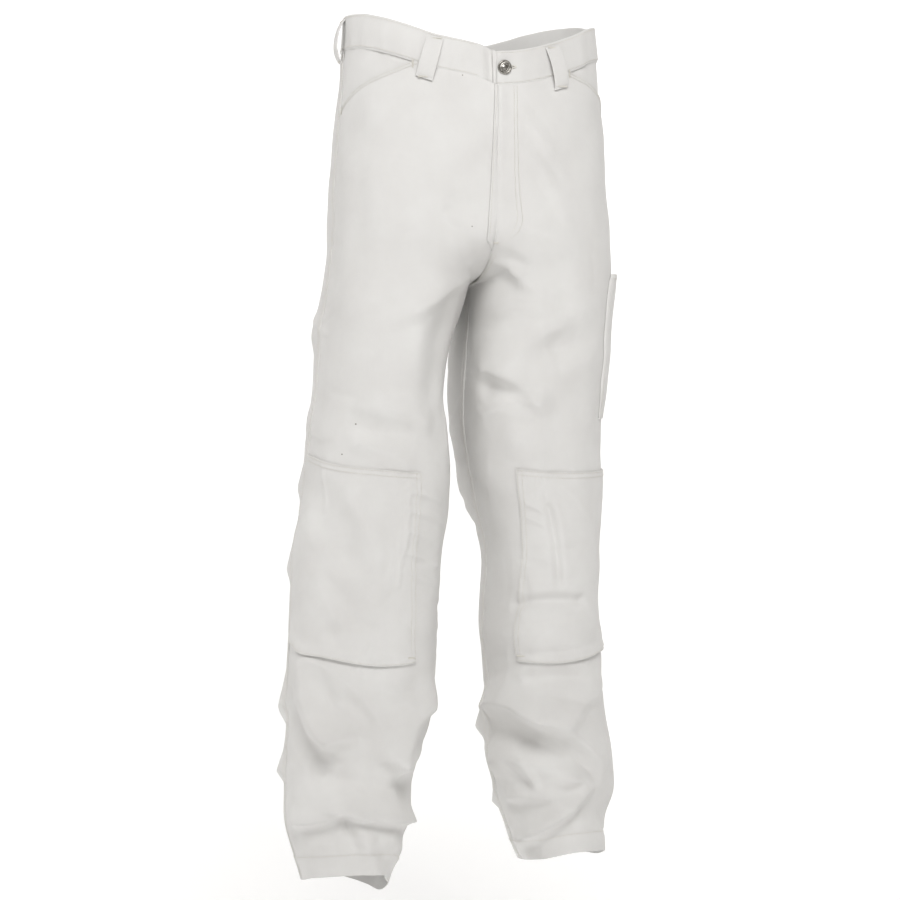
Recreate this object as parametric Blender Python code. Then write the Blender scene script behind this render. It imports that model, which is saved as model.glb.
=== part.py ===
"""White cotton work trousers for beekeeping, filled out as if worn and standing in mid-air.

Metres, +Z up.  The wearer faces -Y and their left is +X.  The origin is the middle of the
waistband, where the wearer holds the garment up.  Every panel is a thin wall on one form: level
loops round each side, opened along the rise seam above the crotch, with the largest folds raised
on it.  Tables are in millimetres.
"""
from math import pi

import bmesh
import bpy
import numpy as np
from mathutils import Matrix, Vector

# Cloth and fittings
MM = 0.001
CLOTH = 0.0015
BAND_CLOTH = 0.0030
BAND_PROUD = 0.0008
TAPE = 0.0008
GAP = 0.0003
BAND_HEIGHT = 0.040
BUTTON_RADIUS, BUTTON_HEIGHT, BUTTON_RIM = 0.0085, 0.0030, 0.0008
LOOP_WIDTH, LOOP_CLOTH, WAIST_ARC = 0.020, 0.0016, 0.44
LOOP_BELOW_TOP, LOOP_BELOW_SEAM = 0.004, 0.017

# The form.  mid is a loop's middle from the mid-plane, out and inn its reach from there.  front
# and rear are measured from the garment's middle, as are the side seam's place cy_out and the
# inseam's place cy_in.  The sq_ columns say how square each corner is (2 is an ellipse): outer,
# front-inner and rear-inner.
SECTION_COLUMNS = "z mid out inn front rear cy_out cy_in sq_out sq_fi sq_ri"
BODY_SECTIONS = """
   30    0 154   0 103 110   0   0 2.2  16   16
   10    0 154   0 104 112   0   0 2.2  16   16
  -40    2 154   2 108 119   0   0 2.2  16   16
  -90    8 153   8 113 130   0   0 2.2  16   16
 -145   20 144  20 115 141   0   4 2.25 14   14
 -200   38 129  38 115 146   0   8 2.3   9   10
 -253   62 107  61 113 142   0  14 2.35 3.2  5.5
"""
LEG_SECTIONS = dict(right=BODY_SECTIONS + """
 -301   86  88  85 109 134   0  20 2.35 1.95 3.6
 -340   97  83  83 103 126   0  18 2.3  1.9  3.0
 -381  105  79  78  98 118   0  14 2.3  1.95 2.6
 -434  112  77  74  93 110   0   6 2.25 2.1  2.4
 -470  114  80  80  91 105   0   2 2.25 2.2  2.3
 -524  116  84  86  87  98   0   0 2.2  2.2  2.3
 -577  121  87  88  84  91   0   0 2.2  2.2  2.2
 -631  128  88  89  81  85   0   0 2.2  2.2  2.2
 -685  131  88  89  78  83   0   0 2.2  2.2  2.2
 -739  134  88  88  76  83   0   0 2.2  2.2  2.2
 -792  136  87  88  76  84   0   0 2.2  2.2  2.2
 -828  139  84  84  77  86   0   0 2.2  2.2  2.2
 -864  144  80  77  79  87   0   0 2.15 2.2  2.2
 -900  149  77  73  82  87   0   0 2.1  2.2  2.2
 -935  151  74  75  84  86   0   0 2.1  2.1  2.1
 -971  152  64  65  85  87   0   0 2.1  2.1  2.1
-1000  155  53  52  86  88   0   0 2.1  2.1  2.1
-1035  156  44  43  86  88   0   0 2.1  2.1  2.1
""", left=BODY_SECTIONS + """
 -301   86  80  85 109 134   0  20 2.35 2.6  4.0
 -340   86  78  84 104 129   0  12 2.3  3.0  4.5
 -381   84  78  87 101 125   0   8 2.3  3.2  5.0
 -434   82  78  88  97 120   0   4 2.25 3.2  5.5
 -470   82  77  87  94 116   0   2 2.25 3.0  5.2
 -524   83  76  83  92 109   0   0 2.2  2.7  3.8
 -579   87  70  74  91 101   0   0 2.2  2.3  2.3
 -634   89  65  67  90  97   0   0 2.2  2.2  2.2
 -688   87  67  68  88  95   0   0 2.2  2.2  2.2
 -743   90  70  69  86  93   0   0 2.2  2.2  2.2
 -798   94  68  68  85  92   0   0 2.2  2.2  2.2
 -834   97  71  72  84  91   0   0 2.2  2.2  2.2
 -871  101  75  75  84  90   0   0 2.15 2.2  2.2
 -907  106  71  71  85  90   0   0 2.1  2.2  2.2
 -944  108  56  62  87  90   0   0 2.1  2.1  2.1
 -980  113  50  54  88  90   0   0 2.1  2.1  2.1
-1005  118  45  47  88  90   0   0 2.1  2.1  2.1
-1035  119  44  45  88  90   0   0 2.1  2.1  2.1
""")

# The rise seam, from the waist seam to the crotch point
CROTCH_Z, CROTCH_Y = -0.301, 0.020
U_HEIGHT = dict(front=0.085, back=0.120)
U_FULLNESS = 2.3
FULL_DEPTH = 0.985

# Height of the waistband's top, by the share of the way from the centre to the side
WAIST_SHARES = (0, 0.1, 0.2, 0.35, 0.5, 0.65, 0.8, 1)
WAIST_TOP = dict(
    right=dict(front=[-36, -28, -23, -16, -5, 5, 12, 15], back=[3, 3, 4, 9, 13, 15, 16, 15]),
    left=dict(front=[-36, -34, -30, -21, -10, 2, 9, 13], back=[3, 3, 4, 11, 19, 23, 22, 13]))

# Key levels round each leg at eight even places: inseam, inner front, front, outer front, side
# seam, outer back, back, inner back
KNEE_TOP = dict(right=[-530, -528, -524, -517, -505, -505, -512, -522],
                left=[-518, -520, -526, -525, -520, -518, -517, -517])
KNEE_BOTTOM = dict(right=[-746, -748, -751, -740, -727, -727, -736, -742],
                   left=[-746, -750, -751, -740, -731, -732, -738, -742])
HEM = dict(right=[-1024, -1000, -991, -997, -1008, -1014, -1018, -1024],
           left=[-996, -988, -976, -980, -993, -998, -1000, -1002])
KEY_SHARES = (0, 0.31, 0.64, 1)
HEM_RAG = 0.26

# Where pockets start and end.  v runs from 0 at the waist seam to 1 at the crotch and 2 at the
# hem, u from the front edge at 0 over the side seam at 0.5 to the back edge at 1.
SLANT_END, SLANT_START = 0.28, 0.225
FACING_LOW, FACING_END, FACING_NARROW, FACING_SLACK = 0.26, 0.31, 0.47, 0.0016
KNEE_MEDIAL = dict(right=(0.19, 0.155), left=(0.167, 0.132))
TOOL_TOP, TOOL_BOTTOM = 0.955, 1.2246
TOOL_FRONT, TOOL_REAR, TOOL_BOW = 0.39, 0.58, 0.009
FLY_SHARE, FLY_ROWS = 0.08, 7
LAP_OVER, LAP_RAMP, LAP_COLUMNS = 0.012, 0.050, 2
HIDDEN_TOP = 0.005

# Folds, each along a stroke from (t0, z0) to (t1, z1), where t is the share of the way round the
# level loop from the inseam.  bow lifts the stroke's middle.  high is the fold's height, less than
# 0 for a hollow, and up and down are its widths above and below the stroke.
FOLD_COLUMNS = "t0 z0 t1 z1 bow high up down"
LEAST_WIDTH = 0.030
FOLDS = dict(right="""
 .120  -288   .244  -337    4    7   50  22
 .245  -339   .220  -417    0    5   30  40
 .174  -364   .184  -421    0   -5   40  40
 .284  -450   .190  -467    4    4   24  22
 .336  -468   .232  -483   -3   -4   20  20
 .332  -492   .230  -510    3    4   20  20
 .402  -562   .319  -617    0   -5   34  34
 .326  -568   .274  -657    4    4   34  26
 .432  -595   .347  -652    0    4   22  30
 .396  -620   .299  -694    0   -4   22  22
 .426  -752   .346  -833  -14   12   34  30
 .346  -833   .174  -867   16   12   52  22
 .174  -864   .097  -803   12   10   46  24
 .362  -786   .277  -824   -8   -7   36  26
 .277  -821   .142  -785   -6   -5   40  30
 .352  -876   .134  -893    6   -9   26  30
 .432  -935   .297  -915   -6    9   26  16
 .314  -915   .095  -935   -5   10   26  16
 .444  -816   .367  -860    0   -6   28  28
 .262  -936   .060  -950    0   -6   16  26
 .267  -931   .222  -984    0    5   20  20
 .600  -360   .800  -350   -8    6   40  30
 .640  -410   .900  -385  -10    6   34  26
 .560  -540   .800  -520   -6    7   36  24
 .620  -580   .900  -560   -8    8   34  24
 .550  -640   .820  -625   -6    6   34  22
 .540  -800   .760  -835  -10   10   44  24
 .720  -840   .960  -800   10    9   44  26
 .560  -880   .850  -905  -12   10   34  22
 .620  -950   .930  -930    6    8   26  20
""", left="""
 .130  -277   .188  -299    4    6   26  18
 .188  -289   .220  -352    8    4   34  34
 .105  -405   .209  -438    6    6   34  20
 .120  -426   .190  -438    0   -6   24  24
 .105  -457   .217  -444    4    6   18  34
 .217  -444   .324  -394    8    4   26  34
 .155  -404   .264  -355    6    4   22  26
 .259  -378   .329  -357    0   -4   30  30
 .185  -486   .326  -467    6    5   34  34
 .140  -683   .304  -679    4   -5   18  18
 .038  -716   .317  -706   -6    6   30  34
 .177  -790   .244  -821   -4    6   34  18
 .244  -821   .351  -785   -4    6   34  18
-.007  -806   .185  -814   10   13   34  22
 .174  -812   .321  -864    8   13   44  24
 .017  -835   .309  -881   10   -9   24  22
 .032  -873   .306  -888   10    9   26  30
 .070  -915   .217  -918    6    5   22  16
 .065  -968   .294  -907   -8    9   26  16
 .092  -975   .275  -928   -6   -5   16  24
 .294  -842   .332  -930    0   -7   40  40
 .620  -345   .820  -360   -8    6   40  30
 .600  -520   .860  -540   -8    7   36  24
 .640  -585   .900  -570   -6    7   34  24
 .560  -640   .820  -655   -8    6   34  22
 .520  -790   .760  -815  -10    9   42  24
 .700  -860   .950  -835    8   10   40  26
 .540  -890   .800  -870    6    8   34  22
 .600  -945   .900  -930   -6    8   26  20
""")
SEAM_CALM = 0.022


def read_table(columns, text):
    rows = np.array([[float(v) for v in line.split()] for line in text.splitlines() if line.strip()])
    return dict(zip(columns.split(), rows.T))


def smooth(x):
    x = np.clip(x, 0, 1)
    return x * x * (3 - 2 * x)


def curve_through(xs, ys, x):
    """Cubic with no overshoot through the points xs, ys, read at x."""
    h = np.diff(xs)
    d = np.diff(ys) / h
    m = np.concatenate([[d[0]], np.zeros(len(d) - 1), [d[-1]]])
    same = d[:-1] * d[1:] > 0
    m[1:-1][same] = 2 * d[:-1][same] * d[1:][same] / (d[:-1][same] + d[1:][same])
    x = np.clip(x, xs[0], xs[-1])
    i = np.clip(np.searchsorted(xs, x, side="right") - 1, 0, len(h) - 1)
    s = (x - xs[i]) / h[i]
    return (ys[i] * (2 * s**3 - 3 * s**2 + 1) + ys[i + 1] * (3 * s**2 - 2 * s**3)
            + h[i] * (m[i] * (s**3 - 2 * s**2 + s) + m[i + 1] * (s**3 - s**2)))


def read_around(values, t):
    """Smooth reading of values set evenly round a leg, at the share t of the way round."""
    v = np.asarray(values, float) * MM
    n = len(v)
    x = (np.asarray(t) % 1) * n
    i = x.astype(int) % n
    f = x - np.floor(x)
    a, b, c, d = v[(i - 1) % n], v[i], v[(i + 1) % n], v[(i + 2) % n]
    return b + 0.5 * f * (c - a + f * (2 * a - 5 * b + 4 * c - d + f * (3 * (b - c) + d - a)))


class Half:
    """One side of the garment: its level loops, and the rise seam where they open."""
    LOOP_STEPS, ARC_STEPS, LEVEL_STEP = 480, 1440, 0.004
    NORMAL_STEP = 0.004

    def __init__(self, side):
        self.side = side
        self.sign = -1 if side == "right" else 1
        rows = read_table(SECTION_COLUMNS, LEG_SECTIONS[side])
        order = np.argsort(rows["z"])
        known = rows["z"][order] * MM
        self.levels = np.arange(known[0], known[-1], self.LEVEL_STEP)
        col = {k: curve_through(known, v[order], self.levels)[:, None] for k, v in rows.items()}
        angle = np.linspace(pi, -pi, self.ARC_STEPS + 1)
        c, s = np.cos(angle), np.sin(angle)
        outer, ahead = c >= 0, s >= 0
        reach = np.where(outer, col["out"], col["inn"])
        power = np.where(outer, col["sq_out"], np.where(ahead, col["sq_fi"], col["sq_ri"]))
        seam_y = np.where(outer, col["cy_out"], col["cy_in"])
        depth = np.where(ahead, -col["front"] - seam_y, col["rear"] - seam_y)
        x = (col["mid"] + np.sign(c) * reach * np.abs(c) ** (2 / power)) * MM
        y = (seam_y + depth * np.abs(s) ** (2 / power)) * MM
        step = np.hypot(np.diff(x), np.diff(y))
        run = np.concatenate([np.zeros((len(x), 1)), np.cumsum(step, 1)], 1)
        half = self.ARC_STEPS // 2
        self.girth = run[:, -1]
        even = np.linspace(0, 1, self.LOOP_STEPS + 1)
        self.loops = np.zeros((len(x), self.LOOP_STEPS + 1, 2))
        for k, way in enumerate(run):
            share = np.where(way <= way[half], 0.5 * way / way[half],
                             0.5 + 0.5 * (way - way[half]) / (way[-1] - way[half]))
            self.loops[k, :, 0] = np.interp(even, share, x[k])
            self.loops[k, :, 1] = np.interp(even, share, y[k])
        self.rise = {where: self.rise_seam(where) for where in ("front", "back")}
        self.folds = read_table(FOLD_COLUMNS, FOLDS[side])

    def at(self, z, t):
        """Point (x from the mid-plane, y) on the loop at level z, at the share t of the way round."""
        fz = np.clip((z - self.levels[0]) / self.LEVEL_STEP, 0, len(self.levels) - 1.001)
        ft = np.clip(t, 0, 1) * self.LOOP_STEPS * 0.999999
        i, j = fz.astype(int), ft.astype(int)
        a, b = (fz - i)[..., None], (ft - j)[..., None]
        loops = self.loops
        return ((loops[i, j] * (1 - a) + loops[i + 1, j] * a) * (1 - b)
                + (loops[i, j + 1] * (1 - a) + loops[i + 1, j + 1] * a) * b)

    def rise_seam(self, where):
        """Level and place t of the rise seam, by the share of its length from waist to crotch."""
        high = U_HEIGHT[where]
        top = WAIST_TOP[self.side][where][0] * MM - BAND_HEIGHT
        turn = np.linspace(0, pi / 2, 90)
        z = np.concatenate([CROTCH_Z + high * (1 - np.cos(turn)),
                            np.linspace(CROTCH_Z + high, top, 90)[1:]])
        inner = np.linspace(0, 0.30, 600)
        y, t = np.zeros_like(z), np.zeros_like(z)
        for k, level in enumerate(z):
            p = self.at(np.full(inner.shape, level), inner if where == "front" else 1 - inner)
            depth = np.abs(p[:, 1] - p[0, 1])
            corner = np.argmax(depth >= FULL_DEPTH * depth.max())
            up = min((level - CROTCH_Z) / high, 1)
            share = (1 - (1 - up) ** U_FULLNESS) ** (1 / U_FULLNESS)
            y[k] = CROTCH_Y + (p[corner, 1] - CROTCH_Y) * share
            t[k] = np.interp(abs(y[k] - p[0, 1]), depth[:corner + 1], inner[:corner + 1])
        run = np.concatenate([[0], np.cumsum(np.hypot(np.diff(z), np.diff(y)))])
        return dict(share=1 - run[::-1] / run[-1], z=z[::-1], t=t[::-1], length=run[-1])

    def waist_seam(self, where, out):
        """Height of the waist seam at the share out of the way from the centre to the side."""
        tops = np.array(WAIST_TOP[self.side][where], float) * MM
        return curve_through(np.array(WAIST_SHARES), tops, np.asarray(out, float)) - BAND_HEIGHT

    def leg_level(self, down, t):
        """Level of the row at the share down of the leg, which follows the knee pocket and hem."""
        side = self.side
        hem = read_around(HEM[side], t)
        plain = np.mean(HEM[side]) * MM
        knee, shin = read_around(KNEE_TOP[side], t), read_around(KNEE_BOTTOM[side], t)
        keys = [CROTCH_Z + 0 * hem, knee, shin, plain + 0 * hem]
        z = keys[0]
        for a, b, start, stop in zip(keys, keys[1:], KEY_SHARES, KEY_SHARES[1:]):
            z = z + (b - a) * np.clip((down - start) / (stop - start), 0, 1)
        return z + (hem - plain) * smooth((down - 1 + HEM_RAG) / HEM_RAG)

    def form(self, v, u, over=0.0):
        """Plain form without folds, with over metres above the waist seam.  Points and their t."""
        v, u, over = np.broadcast_arrays(np.asarray(v, float), np.asarray(u, float), over)
        front = u <= 0.5
        out = np.where(front, 2 * u, 2 - 2 * u)
        down = np.clip(v, 0, 1)
        rise = {k: np.where(front, np.interp(down, self.rise["front"]["share"], self.rise["front"][k]),
                            np.interp(down, self.rise["back"]["share"], self.rise["back"][k]))
                for k in ("z", "t")}
        waist, centre, side = (np.where(front, self.waist_seam("front", at), self.waist_seam("back", at))
                               for at in (out, 0.0, 1.0))
        spread = 1 - smooth(out / 0.95)
        z = side * (1 - down) + CROTCH_Z * down
        z = z + (rise["z"] - z) * spread
        z = z + (waist - side - (centre - side) * spread) * (1 - down) ** 2
        t = rise["t"] + (0.5 - rise["t"]) * out
        t = np.where(front, t, 1 - t)
        low = v > 1
        z = np.where(low, self.leg_level(v - 1, u), z + over)
        t = np.where(low, u, t)
        p = self.at(z, t)
        edge = self.at(np.where(low, z, rise["z"] + over), np.where(front, rise["t"], 1 - rise["t"]))
        snap = np.where(low, 0, edge[..., 0] * np.exp(-(out / 0.09) ** 2))
        return np.stack([self.sign * (p[..., 0] - snap), p[..., 1], z], -1), t

    def outward(self, v, u, over=0.0):
        """Level unit vectors that point out of the form."""
        low = np.asarray(v) > 1
        ahead, behind = u + self.NORMAL_STEP, u - self.NORMAL_STEP
        ahead = np.where(low, ahead % 1, np.minimum(ahead, 1))
        behind = np.where(low, behind % 1, np.maximum(behind, 0))
        tangent = (self.form(v, ahead, over)[0] - self.form(v, behind, over)[0])[..., :2]
        tangent = tangent / np.linalg.norm(tangent, axis=-1, keepdims=True)
        level = np.zeros(tangent.shape[:-1])
        return np.stack([self.sign * tangent[..., 1], -self.sign * tangent[..., 0], level], -1)

    def fold_height(self, t, z):
        """Height of the folds at the place t on level z."""
        total = np.zeros(np.shape(z))
        girth = np.interp(z, self.levels, self.girth)
        for k in range(len(self.folds["t0"])):
            row = {name: values[k] for name, values in self.folds.items()}
            run = np.array([(row["t1"] - row["t0"]) * np.interp(row["z0"] * MM, self.levels, self.girth),
                            (row["z1"] - row["z0"]) * MM])
            length = np.hypot(*run)
            along = run / length
            across = np.array([-along[1], along[0]])
            across = across * (1 if across[1] >= 0 else -1)
            x = ((t - row["t0"] + 0.5) % 1 - 0.5) * girth
            y = z - row["z0"] * MM
            s = (x * along[0] + y * along[1]) / length
            inside = np.clip(s, 0, 1)
            side = x * across[0] + y * across[1] - row["bow"] * MM * 4 * inside * (1 - inside)
            width = np.maximum(np.where(side > 0, row["up"], row["down"]) * MM, LEAST_WIDTH)
            far = np.clip(np.hypot(side, (s - inside) * length) / width, 0, 1)
            total = total + row["high"] * MM * (1 - far**2) ** 2
        return total

    def surface(self, v, u, lift=0.0, over=0.0):
        """Points of the cloth's outer face, lifted off it by lift."""
        v, u, lift, over = np.broadcast_arrays(*(np.asarray(a, float) for a in (v, u, lift, over)))
        p, t = self.form(v, u, over)
        below = np.clip(CROTCH_Z - p[..., 2], 0, None)
        calm = 1 - np.exp(-(p[..., 0] / SEAM_CALM) ** 2 - (below / (2 * SEAM_CALM)) ** 2)
        height = self.fold_height(t, p[..., 2]) * calm * (v > 0) + lift
        p = p + self.outward(v, u, over) * height[..., None]
        own_side = self.sign * np.maximum(self.sign * p[..., 0], 0)
        p[..., 0] = np.where(v <= 1, own_side, p[..., 0])
        return p


HALVES = {side: Half(side) for side in ("right", "left")}


def steps(*stretches):
    """Even steps through knots: (start, count, next knot, count, ..., last knot)."""
    knots, counts = stretches[::2], stretches[1::2]
    parts = [np.linspace(a, b, n + 1)[:-1] for a, n, b in zip(knots, counts, knots[1:])]
    return np.concatenate(parts + [[knots[-1]]])


# Rows of every panel, and the numbers of the rows where pockets start and end
ROWS = steps(0, 4, SLANT_END, 8, TOOL_TOP, 1, 1, 8, TOOL_BOTTOM, 3, 1 + KEY_SHARES[1], 11,
             1 + KEY_SHARES[2], 13, 2)


def row_number(v):
    return int(np.argmin(np.abs(ROWS - v)))


def front_columns(side, v):
    """u of the front panel's columns at the row v: up to the slant pocket or the side seam."""
    top, bottom = KNEE_MEDIAL[side]
    share = np.clip((v - 1 - KEY_SHARES[1]) / (KEY_SHARES[2] - KEY_SHARES[1]), 0, 1)
    u = steps(0, 2, FLY_SHARE, 2, top + (bottom - top) * share, 5, TOOL_FRONT, 2, 0.5)
    squeeze = (slant_edge(v) - FLY_SHARE) / (0.5 - FLY_SHARE)
    return np.where(u > FLY_SHARE, FLY_SHARE + (u - FLY_SHARE) * squeeze, u)


def slant_edge(v):
    """u of the front panel's outer edge, which the slant pocket cuts back."""
    return min(SLANT_START + (0.5 - SLANT_START) * v / SLANT_END, 0.5)


def back_columns():
    return steps(0.5, 2, TOOL_REAR, 9, 1)


def band_columns(side):
    """u of the waistband's columns: those of the panels that it joins."""
    return np.concatenate([front_columns(side, 0), steps(SLANT_START, 5, 0.5)[1:], back_columns()[1:]])


def grid(side, rows, columns_at, lift):
    """Points of a panel, a row for each v."""
    v = np.array([np.full(len(columns_at(v)), v) for v in rows])
    u = np.array([columns_at(v) for v in rows])
    return HALVES[side].surface(v, u, lift)


def pull_in(points):
    """Draw the border in by half a seam gap."""
    p = points.copy()
    for edge, inner in ((np.s_[0], np.s_[1]), (np.s_[-1], np.s_[-2]),
                        (np.s_[:, 0], np.s_[:, 1]), (np.s_[:, -1], np.s_[:, -2])):
        way = p[inner] - p[edge]
        p[edge] += way / np.linalg.norm(way, axis=-1, keepdims=True) * (0.6 * GAP)
    return p


def material(name, colour, roughness, metallic=0.0):
    made = bpy.data.materials.new(name)
    made.use_nodes = True
    shader = made.node_tree.nodes["Principled BSDF"]
    shader.inputs["Base Color"].default_value = (*colour, 1)
    shader.inputs["Roughness"].default_value = roughness
    shader.inputs["Metallic"].default_value = metallic
    return made


def add_object(name, mesh, look):
    mesh.materials.append(look)
    mesh.shade_smooth()
    mesh.set_sharp_from_angle(angle=0.7)
    made = bpy.data.objects.new(name, mesh)
    collection.objects.link(made)
    return made


def add_wall(name, outer, inner, look):
    """Closed wall between two like grids of points."""
    n, m = outer.shape[:2]
    bm = bmesh.new()
    faces = []
    for points in (outer, inner):
        faces.append([[bm.verts.new(points[i, j]) for j in range(m)] for i in range(n)])
    for side in faces:
        for i in range(n - 1):
            for j in range(m - 1):
                bm.faces.new((side[i][j], side[i + 1][j], side[i + 1][j + 1], side[i][j + 1]))
    border = ([(0, j) for j in range(m)] + [(i, m - 1) for i in range(1, n)]
              + [(n - 1, j) for j in range(m - 2, -1, -1)] + [(i, 0) for i in range(n - 2, 0, -1)])
    for (a, b), (c, d) in zip(border, border[1:] + border[:1]):
        bm.faces.new((faces[0][a][b], faces[0][c][d], faces[1][c][d], faces[1][a][b]))
    bmesh.ops.triangulate(bm, faces=bm.faces[:])
    bmesh.ops.recalc_face_normals(bm, faces=bm.faces[:])
    mesh = bpy.data.meshes.new(name)
    bm.to_mesh(mesh)
    bm.free()
    return add_object(name, mesh, look)


def add_panel(name, side, rows, columns_at, look, lift=0.0, thick=CLOTH):
    outer = pull_in(grid(side, rows, columns_at, lift))
    inner = pull_in(grid(side, rows, columns_at, np.asarray(lift) - thick))
    return add_wall(name, outer, inner, look)


def add_fronts_and_backs():
    for side in HALVES:
        add_panel("front_" + side, side, ROWS, lambda v: front_columns(side, v), cotton)
        add_panel("back_" + side, side, ROWS, lambda v: back_columns(), cotton)


def facing_columns(side, v):
    """u of the slant facing's columns, two of them tucked under the front."""
    last = front_columns(side, v)[-3:]
    mouth = min(last[2], FACING_NARROW)
    return np.concatenate([last[:2], steps(mouth, 4, 0.5)])


def add_slant_facings():
    """The pocket's inner side, which shows above the slanted mouth, tucked under the front."""
    rows = np.append(ROWS[:4], (FACING_LOW, FACING_END))
    rows[0] = HIDDEN_TOP
    slack = np.where(rows >= FACING_LOW, FACING_SLACK, 0)[:, None]
    for side in HALVES:
        add_panel("pocket_facing_" + side, side, rows,
                  lambda v: facing_columns(side, v), cotton, -CLOTH - 2 * GAP - slack)


def add_knee_pockets():
    rows = ROWS[row_number(1 + KEY_SHARES[1]):row_number(1 + KEY_SHARES[2]) + 1]
    for side in HALVES:
        add_panel("knee_pocket_" + side, side, rows,
                  lambda v: front_columns(side, v)[4:], cotton, CLOTH + GAP)


def add_tool_pocket():
    """Long narrow pocket down the left thigh, over the side seam, open and bowed at its top."""
    rows = ROWS[row_number(TOOL_TOP):row_number(TOOL_BOTTOM) + 1]
    columns = np.concatenate([steps(TOOL_FRONT, 2, 0.5), steps(0.5, 2, TOOL_REAR)[1:]])
    across = np.sin(pi * (columns - TOOL_FRONT) / (TOOL_REAR - TOOL_FRONT)) ** 0.5
    down = np.linspace(0, 1, len(rows))
    along = (0.85 + 0.15 * np.sin(pi * down)) * (1 - down**3)
    bow = TOOL_BOW * along[:, None] * across[None, :]
    add_panel("tool_pocket_left", "left", rows, lambda v: columns, cotton, CLOTH + GAP + bow)


def band_strip(places):
    """Waistband along places (side, u, lift of its outer face)."""
    heights = np.array([0, 0.5, 1])[:, None] * BAND_HEIGHT
    outer, inner = [], []
    for side, u, lift in places:
        half = HALVES[side]
        outer.append(half.surface(0 * heights, u, lift, heights)[:, 0])
        inner.append(half.surface(0 * heights, u, lift - BAND_CLOTH, heights)[:, 0])
    return np.stack(outer, 1), np.stack(inner, 1)


def add_waistband():
    """Two halves joined at the centre back; the left one laps over the right at the front."""
    under = BAND_PROUD - BAND_CLOTH - 3 * GAP
    columns = band_columns("right")
    right = [("right", u, BAND_PROUD if u > LAP_RAMP else under) for u in columns[::-1]]
    right += [("left", u, under) for u in band_columns("left")[1:LAP_COLUMNS + 1]]
    left = [("left", u, BAND_PROUD) for u in band_columns("left")[::-1]]
    left += [("right", LAP_OVER, BAND_PROUD)]
    for name, places in (("waistband_right", right), ("waistband_left", left)):
        outer, inner = band_strip(places)
        add_wall(name, pull_in(outer), pull_in(inner), cotton)


def fly_strip(name, columns, lift, thick):
    """Strip behind the fly, from negative u on the right side to positive u on the left."""
    rows = ROWS[:FLY_ROWS + 1].copy()
    rows[0] = HIDDEN_TOP
    faces = []
    for depth in (lift, lift - thick):
        halves = [HALVES["right" if u < 0 else "left"].surface(rows, abs(u), depth) for u in columns]
        points = np.stack(halves, 1)
        points[:, columns.index(0), 0] = 0
        faces.append(pull_in(points))
    return add_wall(name, *faces, cotton)


def add_fly():
    """Zip tape under the left front's edge, and the shield behind it."""
    tape = [-FLY_SHARE / 2, 0, FLY_SHARE / 2]
    fly_strip("fly_zip", tape, -CLOTH - 2 * GAP, TAPE)
    fly_strip("fly_shield", tape + [FLY_SHARE], -CLOTH - TAPE - 3 * GAP, CLOTH)


def loop_point(side, u, height, lift):
    """Point at a height over or under the waist seam."""
    half = HALVES[side]
    v = max(-height, 0) / half.rise["front"]["length"]
    return half.surface(v, u, lift, max(height, 0))


def add_belt_loop(name, edges, bow):
    """Strap over the waistband between two edges, each (side, u at the top, u at the bottom)."""
    top, bottom = BAND_HEIGHT - LOOP_BELOW_TOP, -LOOP_BELOW_SEAM
    shares = np.linspace(0, 1, 9)
    grids = []
    for thick in (LOOP_CLOTH, 0):
        rows = []
        for s in shares:
            lift = BAND_PROUD + 2 * GAP + thick + bow * np.sin(pi * s) ** 0.7
            height = top + (bottom - top) * s
            rows.append([loop_point(side, a + (b - a) * s, height, lift) for side, a, b in edges])
        grids.append(np.array(rows))
    return add_wall(name, grids[0], grids[1], cotton)


def add_belt_loops():
    half_width = 0.5 * LOOP_WIDTH / WAIST_ARC
    places = (("front_right", "right", 0.168, 0.196, 0.006), ("front_left", "left", 0.172, 0.190, 0.006),
              ("side_right", "right", 0.505, 0.520, 0.008), ("side_left", "left", 0.535, 0.545, 0.008))
    for name, side, a, b, bow in places:
        edges = [(side, a - half_width, b - half_width), (side, a + half_width, b + half_width)]
        add_belt_loop("belt_loop_" + name, edges, bow)
    edges = [("right", 1 - half_width, 1 - half_width), ("left", 1 - half_width, 1 - half_width)]
    add_belt_loop("belt_loop_back", edges, 0.007)


def add_waist_button():
    """Turned metal button on the waistband's left end."""
    half = HALVES["left"]
    u, height = 0.022, 0.5 * BAND_HEIGHT
    place = half.surface(0, u, BAND_PROUD + 3 * GAP, height)
    way = Vector(half.outward(np.array(0.0), np.array(u), height))
    profile = [(BUTTON_RADIUS - BUTTON_RIM, 0), (BUTTON_RADIUS, BUTTON_RIM),
               (BUTTON_RADIUS, BUTTON_HEIGHT - BUTTON_RIM), (BUTTON_RADIUS - BUTTON_RIM, BUTTON_HEIGHT),
               (0.55 * BUTTON_RADIUS, BUTTON_HEIGHT - BUTTON_RIM / 2)]
    bm = bmesh.new()
    around = 24
    rings = [[bm.verts.new((r * np.cos(a), r * np.sin(a), h))
              for a in np.linspace(0, 2 * pi, around, endpoint=False)] for r, h in profile]
    for low, high in zip(rings, rings[1:]):
        for k in range(around):
            bm.faces.new((low[k], low[(k + 1) % around], high[(k + 1) % around], high[k]))
    bm.faces.new(rings[0][::-1])
    bm.faces.new(rings[-1])
    bmesh.ops.recalc_face_normals(bm, faces=bm.faces[:])
    mesh = bpy.data.meshes.new("waist_button")
    bm.to_mesh(mesh)
    bm.free()
    button = add_object("waist_button", mesh, metal)
    button.matrix_world = Matrix.Translation(Vector(place)) @ way.to_track_quat("Z", "Y").to_matrix().to_4x4()


for old in list(bpy.data.objects):
    bpy.data.objects.remove(old, do_unlink=True)
collection = bpy.data.collections.new("beekeeping_trousers")
bpy.context.scene.collection.children.link(collection)
cotton = material("white_cotton_drill", (0.80, 0.79, 0.76), 0.9)
metal = material("dark_nickel", (0.32, 0.31, 0.29), 0.35, 1.0)

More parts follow.
